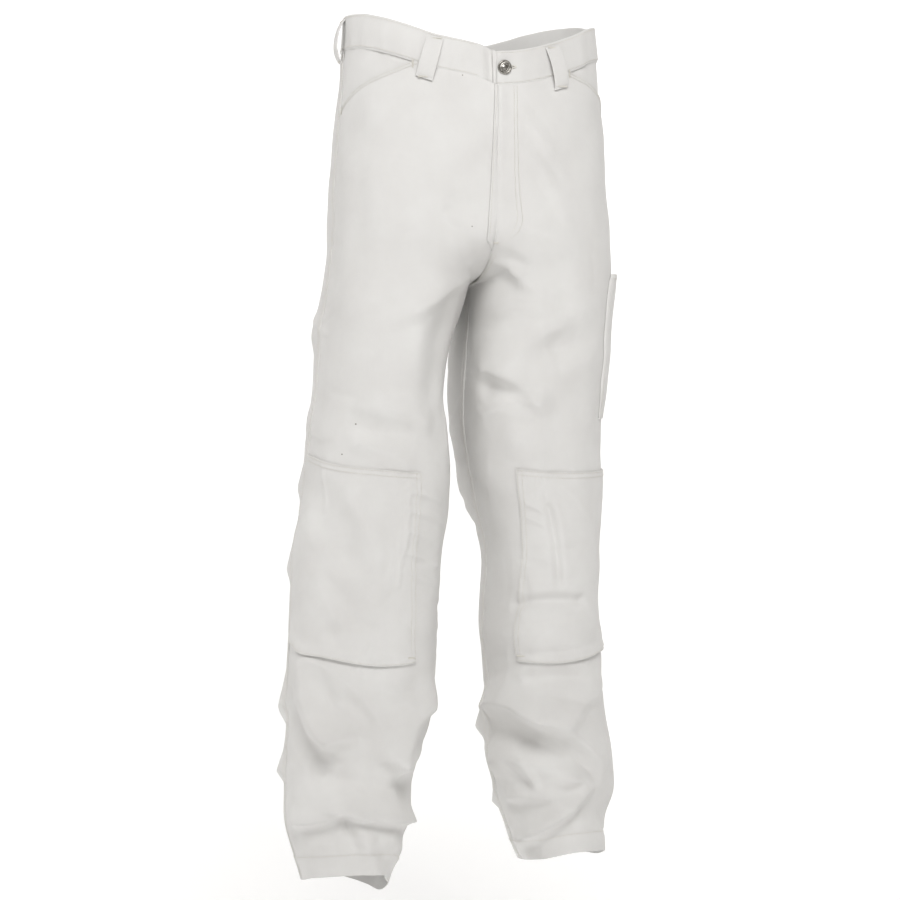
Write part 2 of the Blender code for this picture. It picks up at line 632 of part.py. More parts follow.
add_fronts_and_backs()
add_slant_facings()
add_knee_pockets()
add_tool_pocket()
add_waistband()
add_fly()
add_belt_loops()
add_waist_button()
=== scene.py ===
"""White cotton drill trousers, filled out as if worn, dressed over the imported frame.

Metres, +Z up.  The wearer faces -Y and their left is +X.  Every piece of cloth is a thin wall on
one form: level loops round each side, opened along the rise seam above the crotch, with the folds
and creases raised on it.  Tables are in millimetres.
"""
from math import pi, radians

import bmesh
import bpy
import numpy as np
from mathutils import Matrix, Vector


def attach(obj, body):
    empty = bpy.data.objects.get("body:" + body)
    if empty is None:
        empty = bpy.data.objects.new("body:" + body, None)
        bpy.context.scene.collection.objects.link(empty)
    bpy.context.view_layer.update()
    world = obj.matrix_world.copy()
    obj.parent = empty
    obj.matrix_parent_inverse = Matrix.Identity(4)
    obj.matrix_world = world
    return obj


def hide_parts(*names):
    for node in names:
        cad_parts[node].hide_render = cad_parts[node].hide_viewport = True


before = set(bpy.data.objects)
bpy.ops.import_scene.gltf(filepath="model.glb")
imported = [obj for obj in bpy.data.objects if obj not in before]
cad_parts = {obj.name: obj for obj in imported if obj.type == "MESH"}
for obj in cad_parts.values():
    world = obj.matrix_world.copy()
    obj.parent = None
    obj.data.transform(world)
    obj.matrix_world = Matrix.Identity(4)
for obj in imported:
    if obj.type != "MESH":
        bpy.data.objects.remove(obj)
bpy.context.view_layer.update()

# Cloth and fittings
MM = 0.001
CLOTH = 0.0015
BAND_CLOTH = 0.0030
BAND_PROUD = 0.0008
GAP = 0.0003
BAND_HEIGHT = 0.040
LOOP_WIDTH, LOOP_CLOTH, WAIST_ARC = 0.020, 0.0016, 0.44
LOOP_BELOW_TOP, LOOP_BELOW_SEAM = 0.004, 0.017

SECTION_COLUMNS = "z mid out inn front rear cy_out cy_in sq_out sq_fi sq_ri"
BODY_SECTIONS = """
   30    0 154   0 103 110   0   0 2.2  16   16
   10    0 154   0 104 112   0   0 2.2  16   16
  -40    2 154   2 108 119   0   0 2.2  16   16
  -90    8 153   8 113 130   0   0 2.2  16   16
 -145   20 144  20 115 141   0   4 2.25 14   14
 -200   38 129  38 115 146   0   8 2.3   9   10
 -253   62 107  61 113 142   0  14 2.35 3.2  5.5
"""
LEG_SECTIONS = dict(right=BODY_SECTIONS + """
 -301   86  88  85 109 134   0  20 2.35 1.95 3.6
 -340   97  83  83 103 126   0  18 2.3  1.9  3.0
 -381  105  79  78  98 118   0  14 2.3  1.95 2.6
 -434  112  77  74  93 110   0   6 2.25 2.1  2.4
 -470  114  80  80  91 105   0   2 2.25 2.2  2.3
 -524  116  84  86  87  98   0   0 2.2  2.2  2.3
 -577  121  87  88  84  91   0   0 2.2  2.2  2.2
 -631  128  88  89  81  85   0   0 2.2  2.2  2.2
 -685  131  88  89  78  83   0   0 2.2  2.2  2.2
 -739  134  88  88  76  83   0   0 2.2  2.2  2.2
 -792  136  87  88  76  84   0   0 2.2  2.2  2.2
 -828  139  84  84  77  86   0   0 2.2  2.2  2.2
 -864  144  80  77  79  87   0   0 2.15 2.2  2.2
 -900  149  77  73  82  87   0   0 2.1  2.2  2.2
 -935  151  74  75  84  86   0   0 2.1  2.1  2.1
 -971  152  64  65  85  87   0   0 2.1  2.1  2.1
-1000  155  53  52  86  88   0   0 2.1  2.1  2.1
-1035  156  44  43  86  88   0   0 2.1  2.1  2.1
""", left=BODY_SECTIONS + """
 -301   86  80  85 109 134   0  20 2.35 2.6  4.0
 -340   86  78  84 104 129   0  12 2.3  3.0  4.5
 -381   84  78  87 101 125   0   8 2.3  3.2  5.0
 -434   82  78  88  97 120   0   4 2.25 3.2  5.5
 -470   82  77  87  94 116   0   2 2.25 3.0  5.2
 -524   83  76  83  92 109   0   0 2.2  2.7  3.8
 -579   87  70  74  91 101   0   0 2.2  2.3  2.3
 -634   89  65  67  90  97   0   0 2.2  2.2  2.2
 -688   87  67  68  88  95   0   0 2.2  2.2  2.2
 -743   90  70  69  86  93   0   0 2.2  2.2  2.2
 -798   94  68  68  85  92   0   0 2.2  2.2  2.2
 -834   97  71  72  84  91   0   0 2.2  2.2  2.2
 -871  101  75  75  84  90   0   0 2.15 2.2  2.2
 -907  106  71  71  85  90   0   0 2.1  2.2  2.2
 -944  108  56  62  87  90   0   0 2.1  2.1  2.1
 -980  113  50  54  88  90   0   0 2.1  2.1  2.1
-1005  118  45  47  88  90   0   0 2.1  2.1  2.1
-1035  119  44  45  88  90   0   0 2.1  2.1  2.1
""")

# The rise seam, from the waist seam to the crotch point
CROTCH_Z, CROTCH_Y = -0.301, 0.020
U_HEIGHT = dict(front=0.085, back=0.120)
U_FULLNESS = 2.3
FULL_DEPTH = 0.985

# Height of the waistband's top, by the share of the way from the centre to the side
WAIST_SHARES = (0, 0.1, 0.2, 0.35, 0.5, 0.65, 0.8, 1)
WAIST_TOP = dict(
    right=dict(front=[-36, -28, -23, -16, -5, 5, 12, 15], back=[3, 3, 4, 9, 13, 15, 16, 15]),
    left=dict(front=[-36, -34, -30, -21, -10, 2, 9, 13], back=[3, 3, 4, 11, 19, 23, 22, 13]))

# Key levels round each leg at eight even places: inseam, inner front, front, outer front, side
# seam, outer back, back, inner back
KNEE_TOP = dict(right=[-530, -528, -524, -517, -505, -505, -512, -522],
                left=[-518, -520, -526, -525, -520, -518, -517, -517])
KNEE_BOTTOM = dict(right=[-746, -748, -751, -740, -727, -727, -736, -742],
                   left=[-746, -750, -751, -740, -731, -732, -738, -742])
HEM = dict(right=[-1024, -1000, -991, -997, -1008, -1014, -1018, -1024],
           left=[-996, -988, -976, -980, -993, -998, -1000, -1002])
KEY_SHARES = (0, 0.31, 0.64, 1)
HEM_RAG = 0.26

# Where pockets start and end.  v runs from 0 at the waist seam to 1 at the crotch and 2 at the
# hem, u from the front edge at 0 over the side seam at 0.5 to the back edge at 1.
SLANT_END, SLANT_START = 0.28, 0.225
FACING_LOW, FACING_END, FACING_NARROW, FACING_SLACK = 0.26, 0.31, 0.47, 0.0016
KNEE_MEDIAL = dict(right=(0.19, 0.155), left=(0.167, 0.132))
TOOL_TOP, TOOL_BOTTOM = 0.955, 1.2246
TOOL_FRONT, TOOL_REAR, TOOL_BOW = 0.39, 0.58, 0.009
FLY_SHARE, FLY_ROWS = 0.08, 7
LAP_OVER, LAP_RAMP, LAP_COLUMNS = 0.012, 0.050, 2
HIDDEN_TOP = 0.005

# Folds, each along a stroke from (t0, z0) to (t1, z1), where t is the share of the way round the
# level loop from the inseam.  bow lifts the stroke's middle.  high is the fold's height, less than
# 0 for a hollow, up and down its width above and below, and sharp how crisp its crest is.
FOLD_COLUMNS = "t0 z0 t1 z1 bow high up down sharp"
FOLDS = dict(right="""
 .120  -288   .244  -337    4    7   50  22 .6
 .245  -339   .220  -417    0    5   40  30 .4
 .174  -364   .184  -421    0   -5   40  40 0
 .284  -450   .190  -467    4    4   24  22 .3
 .336  -468   .232  -483   -3   -4   20  20 0
 .332  -492   .230  -516    3    4   20  20 .3
 .402  -562   .319  -617    0   -5   34  34 0
 .326  -568   .274  -657    4    4   34  26 .4
 .432  -595   .347  -652    0    4   22  30 .5
 .396  -620   .299  -694    0   -4   22  22 .2
 .352  -713   .277  -708    4   -3   16  16 0
 .426  -752   .346  -833  -14   12   34  30 .5
 .346  -833   .174  -867   16   12   52  22 .5
 .174  -864   .097  -803   12   10   46  24 .5
 .362  -782   .277  -824   -8   -7   36  26 .2
 .277  -821   .142  -780   -6   -5   40  30 .2
 .352  -876   .134  -893    6   -9   26  30 .2
 .432  -935   .297  -915   -6    9   26  13 .7
 .314  -915   .095  -935   -5   10   26  12 .7
 .452  -948   .347  -936    2   -5   12   22 .3
 .262  -933   .060  -950    0   -8   13   26 .4
 .304  -923   .272  -960    0   -5   16   20 .6
 .267  -931   .222  -984    0    5   20   20 .3
 .444  -816   .367  -860    0   -6   28   28 0
 .209  -964   .115 -1001    0   -5   20   20 .2
 .600  -360   .800  -350   -8    6   40  30 .3
 .640  -410   .900  -385  -10    6   34  26 .4
 .560  -540   .800  -520   -6    7   36  24 .4
 .620  -580   .900  -560   -8    8   34  24 .4
 .550  -640   .820  -625   -6    6   34  22 .4
 .540  -800   .760  -835  -10   10   44  22 .5
 .720  -840   .960  -800   10    9   44  24 .4
 .560  -880   .850  -905  -12   10   34  18 .6
 .620  -950   .930  -930    6    8   26  16 .6
 .207  -549   .122  -561    1  2.2    7   6 .3
 .207  -571   .110  -586    1  2.4    8   6 .3
 .205  -595   .102  -614    1    2    8   6 .3
 .202  -620   .097  -637    1  2.2    8   6 .3
 .202  -644   .105  -660    1  1.8    8   6 .3
 .239  -217   .175  -264    2   -3   18  18 0
 .242  -237   .171  -281    2    2   14  12 .2
 .219  -542   .209  -613    1  2.6    7   7 .5
 .209  -613   .214  -656    1  2.2    6   6 .5
 .417  -519   .402  -569    0  1.4    6   6 .4
 .334  -628   .252  -674    3 -2.5   24  24 0
 .394  -663   .312  -721    3    2   18  18 .2
 .329  -558   .275  -627    4  1.8   20  20 .1
 .354  -767   .302  -830    3    2   14  16 .3
 .319  -790   .254  -822    3 -2.5   12  12 0
 .242  -778   .165  -797    2    2   12  10 .3
 .295  -926   .272  -957    0   -2    9   9 .3
 .167  -867   .057  -855    3    3   14  10 .4
 .364  -871   .175  -886    3  2.5   14  10 .3
 .327  -326   .227  -317    6    2   30  20 .1
 .393  -116   .367  -257    2  1.2   30  30 0
 .284  -118   .260  -211    2    1   26  26 0
 .439  -148   .430  -277    2  1.2   30  30 0
""", left="""
 .130  -277   .188  -299    4    6   26  18 .6
 .147  -267   .189  -283    3   -5   14  14 .4
 .188  -289   .220  -352    8    4   34  34 .3
 .105  -405   .209  -438    6    6   34  20 .7
 .120  -426   .190  -438    0   -6   24  24 .2
 .105  -457   .217  -444    4    6   18  34 .7
 .217  -444   .324  -394    8    4   26  34 .5
 .155  -404   .264  -355    6    4   22  26 .5
 .259  -378   .329  -357    0   -4   30  30 0
 .185  -486   .326  -467    6    5   34  34 .2
 .225  -569   .245  -653    0   -3   12  14 .8
 .140  -683   .304  -679    4   -5   16  16 .4
 .038  -716   .317  -706   -6    6   30  34 .2
 .169  -771   .292  -770    3   -5   16  14 .3
 .177  -790   .244  -821   -4    6   34  16 .6
 .244  -821   .351  -785    4    6   34  18 .6
-.007  -806   .185  -814   10   13   34  22 .6
 .174  -812   .321  -864    8   13   44  24 .6
 .017  -835   .309  -881   10   -9   24  22 .2
 .032  -873   .306  -888   10    9   26  30 .3
 .097  -875   .132  -898    0   -5   16  16 .5
 .070  -915   .217  -918    6    5   22  14 .6
 .068  -926   .265  -900   -8   -5   12  18 .3
 .065  -968   .294  -907   -8    9   26  12 .7
 .092  -973   .275  -926   -6   -6   12  24 .3
 .294  -842   .332  -930    0   -7   40  40 0
 .078  -958   .095  -990    0   -4   24  24 0
 .620  -345   .820  -360   -8    6   40  30 .3
 .600  -520   .860  -540   -8    7   36  24 .4
 .640  -585   .900  -570   -6    7   34  24 .4
 .560  -640   .820  -655   -8    6   34  22 .4
 .520  -790   .760  -815  -10    9   42  22 .5
 .700  -860   .950  -835    8   10   40  24 .5
 .540  -890   .800  -870    6    8   34  18 .6
 .600  -945   .900  -930   -6    8   26  16 .6
 .214  -532   .209  -559    0 -1.6    7   7 .5
 .225  -569   .239  -653    1 -2.2    8   8 .4
 .244  -571   .255  -647    1  1.6   10  10 .2
 .179  -564   .215  -574    1  1.8    7   6 .4
 .174  -580   .215  -590    1  1.6    7   6 .4
 .155  -682   .301  -677    3   -3   10  10 .3
 .160  -692   .295  -691    3  2.6   14  14 .2
 .170  -742   .280  -737    2 -1.6    8   8 .2
 .211  -106   .260  -150    3  1.8   16  14 .2
 .222  -140   .271  -174    3 -1.6   16  14 .1
 .241  -173   .280  -225    3  1.6   18  16 .1
 .184   -83   .180  -151    1 -2.2   12  12 .1
 .180  -151   .173  -200    1   -2    9   9 .2
 .201  -238   .259  -266    3  1.6   20  14 .2
 .230  -306   .321  -324    4  1.6   24  18 .1
 .182  -843   .260  -867    3    3   14  12 .3
 .137  -867   .157  -898    2    3   10  10 .4
 .179  -902   .254  -889    2  2.4   12  10 .3
 .237  -784   .347  -799    3  2.4   14  12 .3
""")
SEAM_CALM = 0.022
DROOP = 0.25

# Small random creases, as ranges to draw from: how many a side, their lengths, heights and widths
RANDOM_SEED = 11
SMALL_CREASES = 90
SMALL_LENGTH, SMALL_HIGH, SMALL_WIDTH = (25, 80), (0.4, 1.5), (5, 13)
RIPPLE_COUNT, RIPPLE_LENGTHS, RIPPLE_HEIGHT = 26, (0.035, 0.13), 0.00022

# Puckers along sewn seams
PUCKER_WAVE, PUCKER_REACH, PUCKER_HEIGHT = 0.0085, 0.007, 0.00028
LEG_PER_V = 0.69

# Sewn edges
THREAD, STITCH = 0.00027, 0.0033
ARC_PER_U = 0.55
HEM_START, HEM_LIFT = 1.962, 0.0008
FELL_LIFT, FELL_WIDTH = 0.0006, 0.0098
MOUTH_LIFT, MOUTH_HEM = 0.0007, 0.0100
KNEE_GAPE = 0.0022
LAP_ROWS, LAP_REACH = (0, 0.25, 0.5, 0.585, 0.625), (0.0085, 0.0150, 0.0185, 0.0200, 0.0)
LAP_LIFT, LAP_FADE = 0.0019, 0.040
FLY_PAD, FLY_PAD_LIFT, FLY_LOW = 0.046, 0.0004, 0.62
J_STITCH = ((0.006, 0.048), (0.14, 0.045), (0.27, 0.042), (0.40, 0.039), (0.50, 0.036), (0.55, 0.029), (0.58, 0.018),
            (0.598, 0.004))
J_END = 0.60
BUTTON_U = 0.022

# Cloth looks
TWILL_SCALE, YARN_SCALE = 350.0, 420.0
DULL_COTTON, CLEAN_COTTON, SPECK = (0.74, 0.73, 0.715), (0.80, 0.795, 0.78), (0.22, 0.20, 0.17)
SPECKS = ((-41, -66, 0.9), (-30, -241, 1.0), (-159, -470, 1.2), (-174, -505, 1.0))

# Studio
FLOOR = -1.16
CAMERA_PLACE, CAMERA_AZIMUTH, CAMERA_LENS = (-0.8495, -2.877, -0.50), 16, 99.6
BODY_MIDDLE = (0, 0, -0.5)
LIGHTS = (("key", (-0.3, -1.9, 1.0), 1.1, 37, BODY_MIDDLE),
          ("wall_right", (3.2, 1.0, 1.6), 1.5, 60, (1.0, 3.8, -0.2)),
          ("wall_left", (-3.2, 1.0, 1.6), 1.5, 60, (-1.0, 3.8, -0.2)))
AIR_COLOUR, AIR_STRENGTH, PAPER_GLOW = (1.0, 0.95, 0.88), 0.22, 0.22


def read_table(columns, text):
    rows = np.array([[float(v) for v in line.split()] for line in text.splitlines() if line.strip()])
    return dict(zip(columns.split(), rows.T))


def smooth(x):
    x = np.clip(x, 0, 1)
    return x * x * (3 - 2 * x)


def curve_through(xs, ys, x):
    """Cubic with no overshoot through the points xs, ys, read at x."""
    h = np.diff(xs)
    d = np.diff(ys) / h
    m = np.concatenate([[d[0]], np.zeros(len(d) - 1), [d[-1]]])
    same = d[:-1] * d[1:] > 0
    m[1:-1][same] = 2 * d[:-1][same] * d[1:][same] / (d[:-1][same] + d[1:][same])
    x = np.clip(x, xs[0], xs[-1])
    i = np.clip(np.searchsorted(xs, x, side="right") - 1, 0, len(h) - 1)
    s = (x - xs[i]) / h[i]
    return (ys[i] * (2 * s**3 - 3 * s**2 + 1) + ys[i + 1] * (3 * s**2 - 2 * s**3)
            + h[i] * (m[i] * (s**3 - 2 * s**2 + s) + m[i + 1] * (s**3 - s**2)))


def read_around(values, t):
    """Smooth reading of values set evenly round a leg, at the share t of the way round."""
    v = np.asarray(values, float) * MM
    n = len(v)
    x = (np.asarray(t) % 1) * n
    i = x.astype(int) % n
    f = x - np.floor(x)
    a, b, c, d = v[(i - 1) % n], v[i], v[(i + 1) % n], v[(i + 2) % n]
    return b + 0.5 * f * (c - a + f * (2 * a - 5 * b + 4 * c - d + f * (3 * (b - c) + d - a)))


class Half:
    """One side of the garment: its level loops, and the rise seam where they open."""
    LOOP_STEPS, ARC_STEPS, LEVEL_STEP = 720, 1440, 0.003
    NORMAL_STEP = 0.004

    def __init__(self, side):
        self.side = side
        self.sign = -1 if side == "right" else 1
        rows = read_table(SECTION_COLUMNS, LEG_SECTIONS[side])
        order = np.argsort(rows["z"])
        known = rows["z"][order] * MM
        self.levels = np.arange(known[0], known[-1], self.LEVEL_STEP)
        col = {k: curve_through(known, v[order], self.levels)[:, None] for k, v in rows.items()}
        angle = np.linspace(pi, -pi, self.ARC_STEPS + 1)
        c, s = np.cos(angle), np.sin(angle)
        outer, ahead = c >= 0, s >= 0
        reach = np.where(outer, col["out"], col["inn"])
        power = np.where(outer, col["sq_out"], np.where(ahead, col["sq_fi"], col["sq_ri"]))
        seam_y = np.where(outer, col["cy_out"], col["cy_in"])
        depth = np.where(ahead, -col["front"] - seam_y, col["rear"] - seam_y)
        x = (col["mid"] + np.sign(c) * reach * np.abs(c) ** (2 / power)) * MM
        y = (seam_y + depth * np.abs(s) ** (2 / power)) * MM
        step = np.hypot(np.diff(x), np.diff(y))
        run = np.concatenate([np.zeros((len(x), 1)), np.cumsum(step, 1)], 1)
        half = self.ARC_STEPS // 2
        self.girth = run[:, -1]
        even = np.linspace(0, 1, self.LOOP_STEPS + 1)
        self.loops = np.zeros((len(x), self.LOOP_STEPS + 1, 2))
        for k, way in enumerate(run):
            share = np.where(way <= way[half], 0.5 * way / way[half],
                             0.5 + 0.5 * (way - way[half]) / (way[-1] - way[half]))
            self.loops[k, :, 0] = np.interp(even, share, x[k])
            self.loops[k, :, 1] = np.interp(even, share, y[k])
        self.rise = {where: self.rise_seam(where) for where in ("front", "back")}
        rows, small = read_table(FOLD_COLUMNS, FOLDS[side]), small_creases(side)
        self.folds = {name: np.concatenate([rows[name], small[name]]) for name in rows}

    def at(self, z, t):
        """Point (x from the mid-plane, y) on the loop at level z, at the share t of the way round."""
        fz = np.clip((z - self.levels[0]) / self.LEVEL_STEP, 0, len(self.levels) - 1.001)
        ft = np.clip(t, 0, 1) * self.LOOP_STEPS * 0.999999
        i, j = fz.astype(int), ft.astype(int)
        a, b = (fz - i)[..., None], (ft - j)[..., None]
        loops = self.loops
        return ((loops[i, j] * (1 - a) + loops[i + 1, j] * a) * (1 - b)
                + (loops[i, j + 1] * (1 - a) + loops[i + 1, j + 1] * a) * b)

    def rise_seam(self, where):
        """Level and place t of the rise seam, by the share of its length from waist to crotch."""
        high = U_HEIGHT[where]
        top = WAIST_TOP[self.side][where][0] * MM - BAND_HEIGHT
        turn = np.linspace(0, pi / 2, 90)
        z = np.concatenate([CROTCH_Z + high * (1 - np.cos(turn)),
                            np.linspace(CROTCH_Z + high, top, 90)[1:]])
        inner = np.linspace(0, 0.30, 600)
        y, t = np.zeros_like(z), np.zeros_like(z)
        for k, level in enumerate(z):
            p = self.at(np.full(inner.shape, level), inner if where == "front" else 1 - inner)
            depth = np.abs(p[:, 1] - p[0, 1])
            corner = np.argmax(depth >= FULL_DEPTH * depth.max())
            up = min((level - CROTCH_Z) / high, 1)
            share = (1 - (1 - up) ** U_FULLNESS) ** (1 / U_FULLNESS)
            y[k] = CROTCH_Y + (p[corner, 1] - CROTCH_Y) * share
            t[k] = np.interp(abs(y[k] - p[0, 1]), depth[:corner + 1], inner[:corner + 1])
        run = np.concatenate([[0], np.cumsum(np.hypot(np.diff(z), np.diff(y)))])
        return dict(share=1 - run[::-1] / run[-1], z=z[::-1], t=t[::-1], length=run[-1])

    def waist_seam(self, where, out):
        """Height of the waist seam at the share out of the way from the centre to the side."""
        tops = np.array(WAIST_TOP[self.side][where], float) * MM
        return curve_through(np.array(WAIST_SHARES), tops, np.asarray(out, float)) - BAND_HEIGHT

    def leg_level(self, down, t):
        """Level of the row at the share down of the leg, which follows the knee pocket and hem."""
        side = self.side
        hem = read_around(HEM[side], t)
        plain = np.mean(HEM[side]) * MM
        knee, shin = read_around(KNEE_TOP[side], t), read_around(KNEE_BOTTOM[side], t)
        keys = [CROTCH_Z + 0 * hem, knee, shin, plain + 0 * hem]
        z = keys[0]
        for a, b, start, stop in zip(keys, keys[1:], KEY_SHARES, KEY_SHARES[1:]):
            z = z + (b - a) * np.clip((down - start) / (stop - start), 0, 1)
        return z + (hem - plain) * smooth((down - 1 + HEM_RAG) / HEM_RAG)

    def form(self, v, u, over=0.0):
        """Plain form without folds, with over metres above the waist seam.  Points and their t."""
        v, u, over = np.broadcast_arrays(np.asarray(v, float), np.asarray(u, float), over)
        front = u <= 0.5
        out = np.where(front, 2 * u, 2 - 2 * u)
        down = np.clip(v, 0, 1)
        rise = {k: np.where(front, np.interp(down, self.rise["front"]["share"], self.rise["front"][k]),
                            np.interp(down, self.rise["back"]["share"], self.rise["back"][k]))
                for k in ("z", "t")}
        waist, centre, side = (np.where(front, self.waist_seam("front", at), self.waist_seam("back", at))
                               for at in (out, 0.0, 1.0))
        spread = 1 - smooth(out / 0.95)
        z = side * (1 - down) + CROTCH_Z * down
        z = z + (rise["z"] - z) * spread
        z = z + (waist - side - (centre - side) * spread) * (1 - down) ** 2
        t = rise["t"] + (0.5 - rise["t"]) * out
        t = np.where(front, t, 1 - t)
        low = v > 1
        z = np.where(low, self.leg_level(v - 1, u), z + over)
        t = np.where(low, u, t)
        p = self.at(z, t)
        edge = self.at(np.where(low, z, rise["z"] + over), np.where(front, rise["t"], 1 - rise["t"]))
        snap = np.where(low, 0, edge[..., 0] * np.exp(-(out / 0.09) ** 2))
        return np.stack([self.sign * (p[..., 0] - snap), p[..., 1], z], -1), t

    def outward(self, v, u, over=0.0):
        """Level unit vectors that point out of the form."""
        low = np.asarray(v) > 1
        ahead, behind = u + self.NORMAL_STEP, u - self.NORMAL_STEP
        ahead = np.where(low, ahead % 1, np.minimum(ahead, 1))
        behind = np.where(low, behind % 1, np.maximum(behind, 0))
        tangent = (self.form(v, ahead, over)[0] - self.form(v, behind, over)[0])[..., :2]
        tangent = tangent / np.linalg.norm(tangent, axis=-1, keepdims=True)
        level = np.zeros(tangent.shape[:-1])
        return np.stack([self.sign * tangent[..., 1], -self.sign * tangent[..., 0], level], -1)

    def fold_height(self, t, z):
        """Height of the folds at the place t on level z."""
        total = np.zeros(np.shape(z))
        girth = np.interp(z, self.levels, self.girth)
        for row in zip(*(self.folds[name] for name in FOLD_COLUMNS.split())):
            t0, z0, t1, z1, bow, high, up, down, sharp = row
            z0, z1, bow, high, up, down = (k * MM for k in (z0, z1, bow, high, up, down))
            ends = max(up, down)
            reach = ends + abs(bow)
            near = (z > min(z0, z1) - reach) & (z < max(z0, z1) + reach)
            if not near.any():
                continue
            run = np.array([(t1 - t0) * np.interp(z0, self.levels, self.girth), z1 - z0])
            length = np.hypot(*run)
            along = run / length
            across = np.array([-along[1], along[0]])
            across = across * (1 if across[1] >= 0 else -1)
            x = ((t[near] - t0 + 0.5) % 1 - 0.5) * girth[near]
            y = z[near] - z0
            s = (x * along[0] + y * along[1]) / length
            inside = np.clip(s, 0, 1)
            side = x * across[0] + y * across[1] - bow * 4 * inside * (1 - inside)
            width = np.where(side > 0, up, down)
            far = np.clip(np.hypot(side / width, (s - inside) * length / ends), 0, 1)
            soft = (1 - far**2) ** 2
            total[near] += high * (soft + sharp * ((1 - far) ** 2 - soft))
        return total

    def puckers(self, v, u, p):
        """Puckers beside the seams."""
        z, low = p[..., 2], v > 1
        girth = ARC_PER_U
        total = pucker(z, (u - 0.5) * girth)
        total = total + np.where(low, pucker(z + 0.3, np.minimum(u, 1 - u) * girth), 0)
        level = u * girth
        total = total + pucker(level, (2 - v) * LEG_PER_V, 1.4) + pucker(level, v * 0.27, 1.6) * (v > 0)
        top, bottom = 1 + KEY_SHARES[1], 1 + KEY_SHARES[2]
        medial = knee_medial(self.side, v)
        outer = smooth((u - medial + 0.02) / 0.02) * (u < 0.5)
        total = total + outer * (pucker(level, (v - top) * LEG_PER_V) + pucker(level, (v - bottom) * LEG_PER_V))
        return total + pucker(z, (u - medial) * girth, 1.2) * (v > top) * (v < bottom) * (u < 0.5)

    def surface(self, v, u, lift=0.0, over=0.0):
        """Points of the cloth's outer face, lifted off it by lift."""
        v, u, lift, over = np.broadcast_arrays(*(np.asarray(a, float) for a in (v, u, lift, over)))
        p, t = self.form(v, u, over)
        below = np.clip(CROTCH_Z - p[..., 2], 0, None)
        calm = 1 - np.exp(-(p[..., 0] / SEAM_CALM) ** 2 - (below / (2 * SEAM_CALM)) ** 2)
        folds = self.fold_height(t, p[..., 2]) * calm * (v > 0)
        height = folds + ripple(p) + self.puckers(v, u, p) + lift
        p = p + self.outward(v, u, over) * height[..., None]
        p[..., 2] -= DROOP * np.clip(folds, 0, None) * (v > 0) * (v < 1.96)
        own_side = self.sign * np.maximum(self.sign * p[..., 0], 0)
        p[..., 0] = np.where(v <= 1, own_side, p[..., 0])
        return p



def small_creases(side):
    """Seeded random creases, more of them on the lower leg, which lie level or a little aslant."""
    rng = np.random.default_rng(RANDOM_SEED + len(side))
    n = SMALL_CREASES
    z0 = -1000 + 760 * rng.beta(1.3, 1.9, n)
    t0 = rng.uniform(0, 1, n)
    way = np.where(rng.random(n) < 0.72, rng.normal(0, 0.45, n), rng.normal(1.4, 0.3, n))
    length = rng.uniform(*SMALL_LENGTH, n)
    high = rng.uniform(*SMALL_HIGH, n) * rng.choice([-1, 1], n)
    up, down = rng.uniform(*SMALL_WIDTH, (2, n))
    return dict(t0=t0, z0=z0, t1=t0 + length * np.cos(way) / 560, z1=z0 + length * np.sin(way),
                bow=rng.uniform(-5, 5, n), high=high, up=up, down=down, sharp=rng.uniform(0, 0.5, n))


RIPPLE_RNG = np.random.default_rng(RANDOM_SEED)
RIPPLE_WAYS = RIPPLE_RNG.normal(size=(RIPPLE_COUNT, 3))
RIPPLE_WAYS *= 2 * pi / (RIPPLE_RNG.uniform(*RIPPLE_LENGTHS, (RIPPLE_COUNT, 1))
                         * np.linalg.norm(RIPPLE_WAYS, axis=1, keepdims=True))
RIPPLE_PHASES = RIPPLE_RNG.uniform(0, 2 * pi, RIPPLE_COUNT)


def ripple(p):
    """Faint unevenness of washed cloth at the points p."""
    return RIPPLE_HEIGHT * np.sin(p @ RIPPLE_WAYS.T + RIPPLE_PHASES).sum(-1)


def pucker(along, away, strength=1.0):
    """Short waves along a seam, dying out at PUCKER_REACH from it."""
    wave = np.sin(2 * pi * along / PUCKER_WAVE + 2.2 * np.sin(2 * pi * along / 0.047))
    wave = wave * (0.65 + 0.35 * np.sin(2 * pi * along / 0.13 + 1))
    return strength * PUCKER_HEIGHT * wave * np.exp(-(away / PUCKER_REACH) ** 2)


HALVES = {side: Half(side) for side in ("right", "left")}
OTHER = dict(right="left", left="right")


def cloth_point(side, v, u, lift=0.0, over=0.0):
    """Points of the cloth, where u under 0 lies on the other side's front."""
    v, u, lift, over = np.broadcast_arrays(*(np.asarray(a, float) for a in (v, u, lift, over)))
    p = HALVES[side].surface(v, np.maximum(u, 0), lift, over)
    if (u < 0).any():
        q = HALVES[OTHER[side]].surface(v, np.maximum(-u, 0), lift, over)
        p = np.where((u < 0)[..., None], q, p)
    return p


def cloth_normal(side, v, u, over=0.0):
    v, u, over = np.broadcast_arrays(*(np.asarray(a, float) for a in (v, u, over)))
    n = HALVES[side].outward(v, np.maximum(u, 0), over)
    if (u < 0).any():
        m = HALVES[OTHER[side]].outward(v, np.maximum(-u, 0), over)
        n = np.where((u < 0)[..., None], m, n)
    return n


def steps(*stretches):
    """Even steps through knots: (start, count, next knot, count, ..., last knot)."""
    knots, counts = stretches[::2], stretches[1::2]
    parts = [np.linspace(a, b, n + 1)[:-1] for a, n, b in zip(knots, counts, knots[1:])]
    return np.concatenate(parts + [[knots[-1]]])


def bell(x, middle, width):
    return np.exp(-((x - middle) / width) ** 2)


# Materials
def link(tree, a, b):
    tree.links.new(a, b)


def node(tree, kind, **settings):
    made = tree.nodes.new(kind)
    for name, value in settings.items():
        if hasattr(made, name):
            setattr(made, name, value)
        else:
            made.inputs[name.replace("_", " ")].default_value = value
    return made


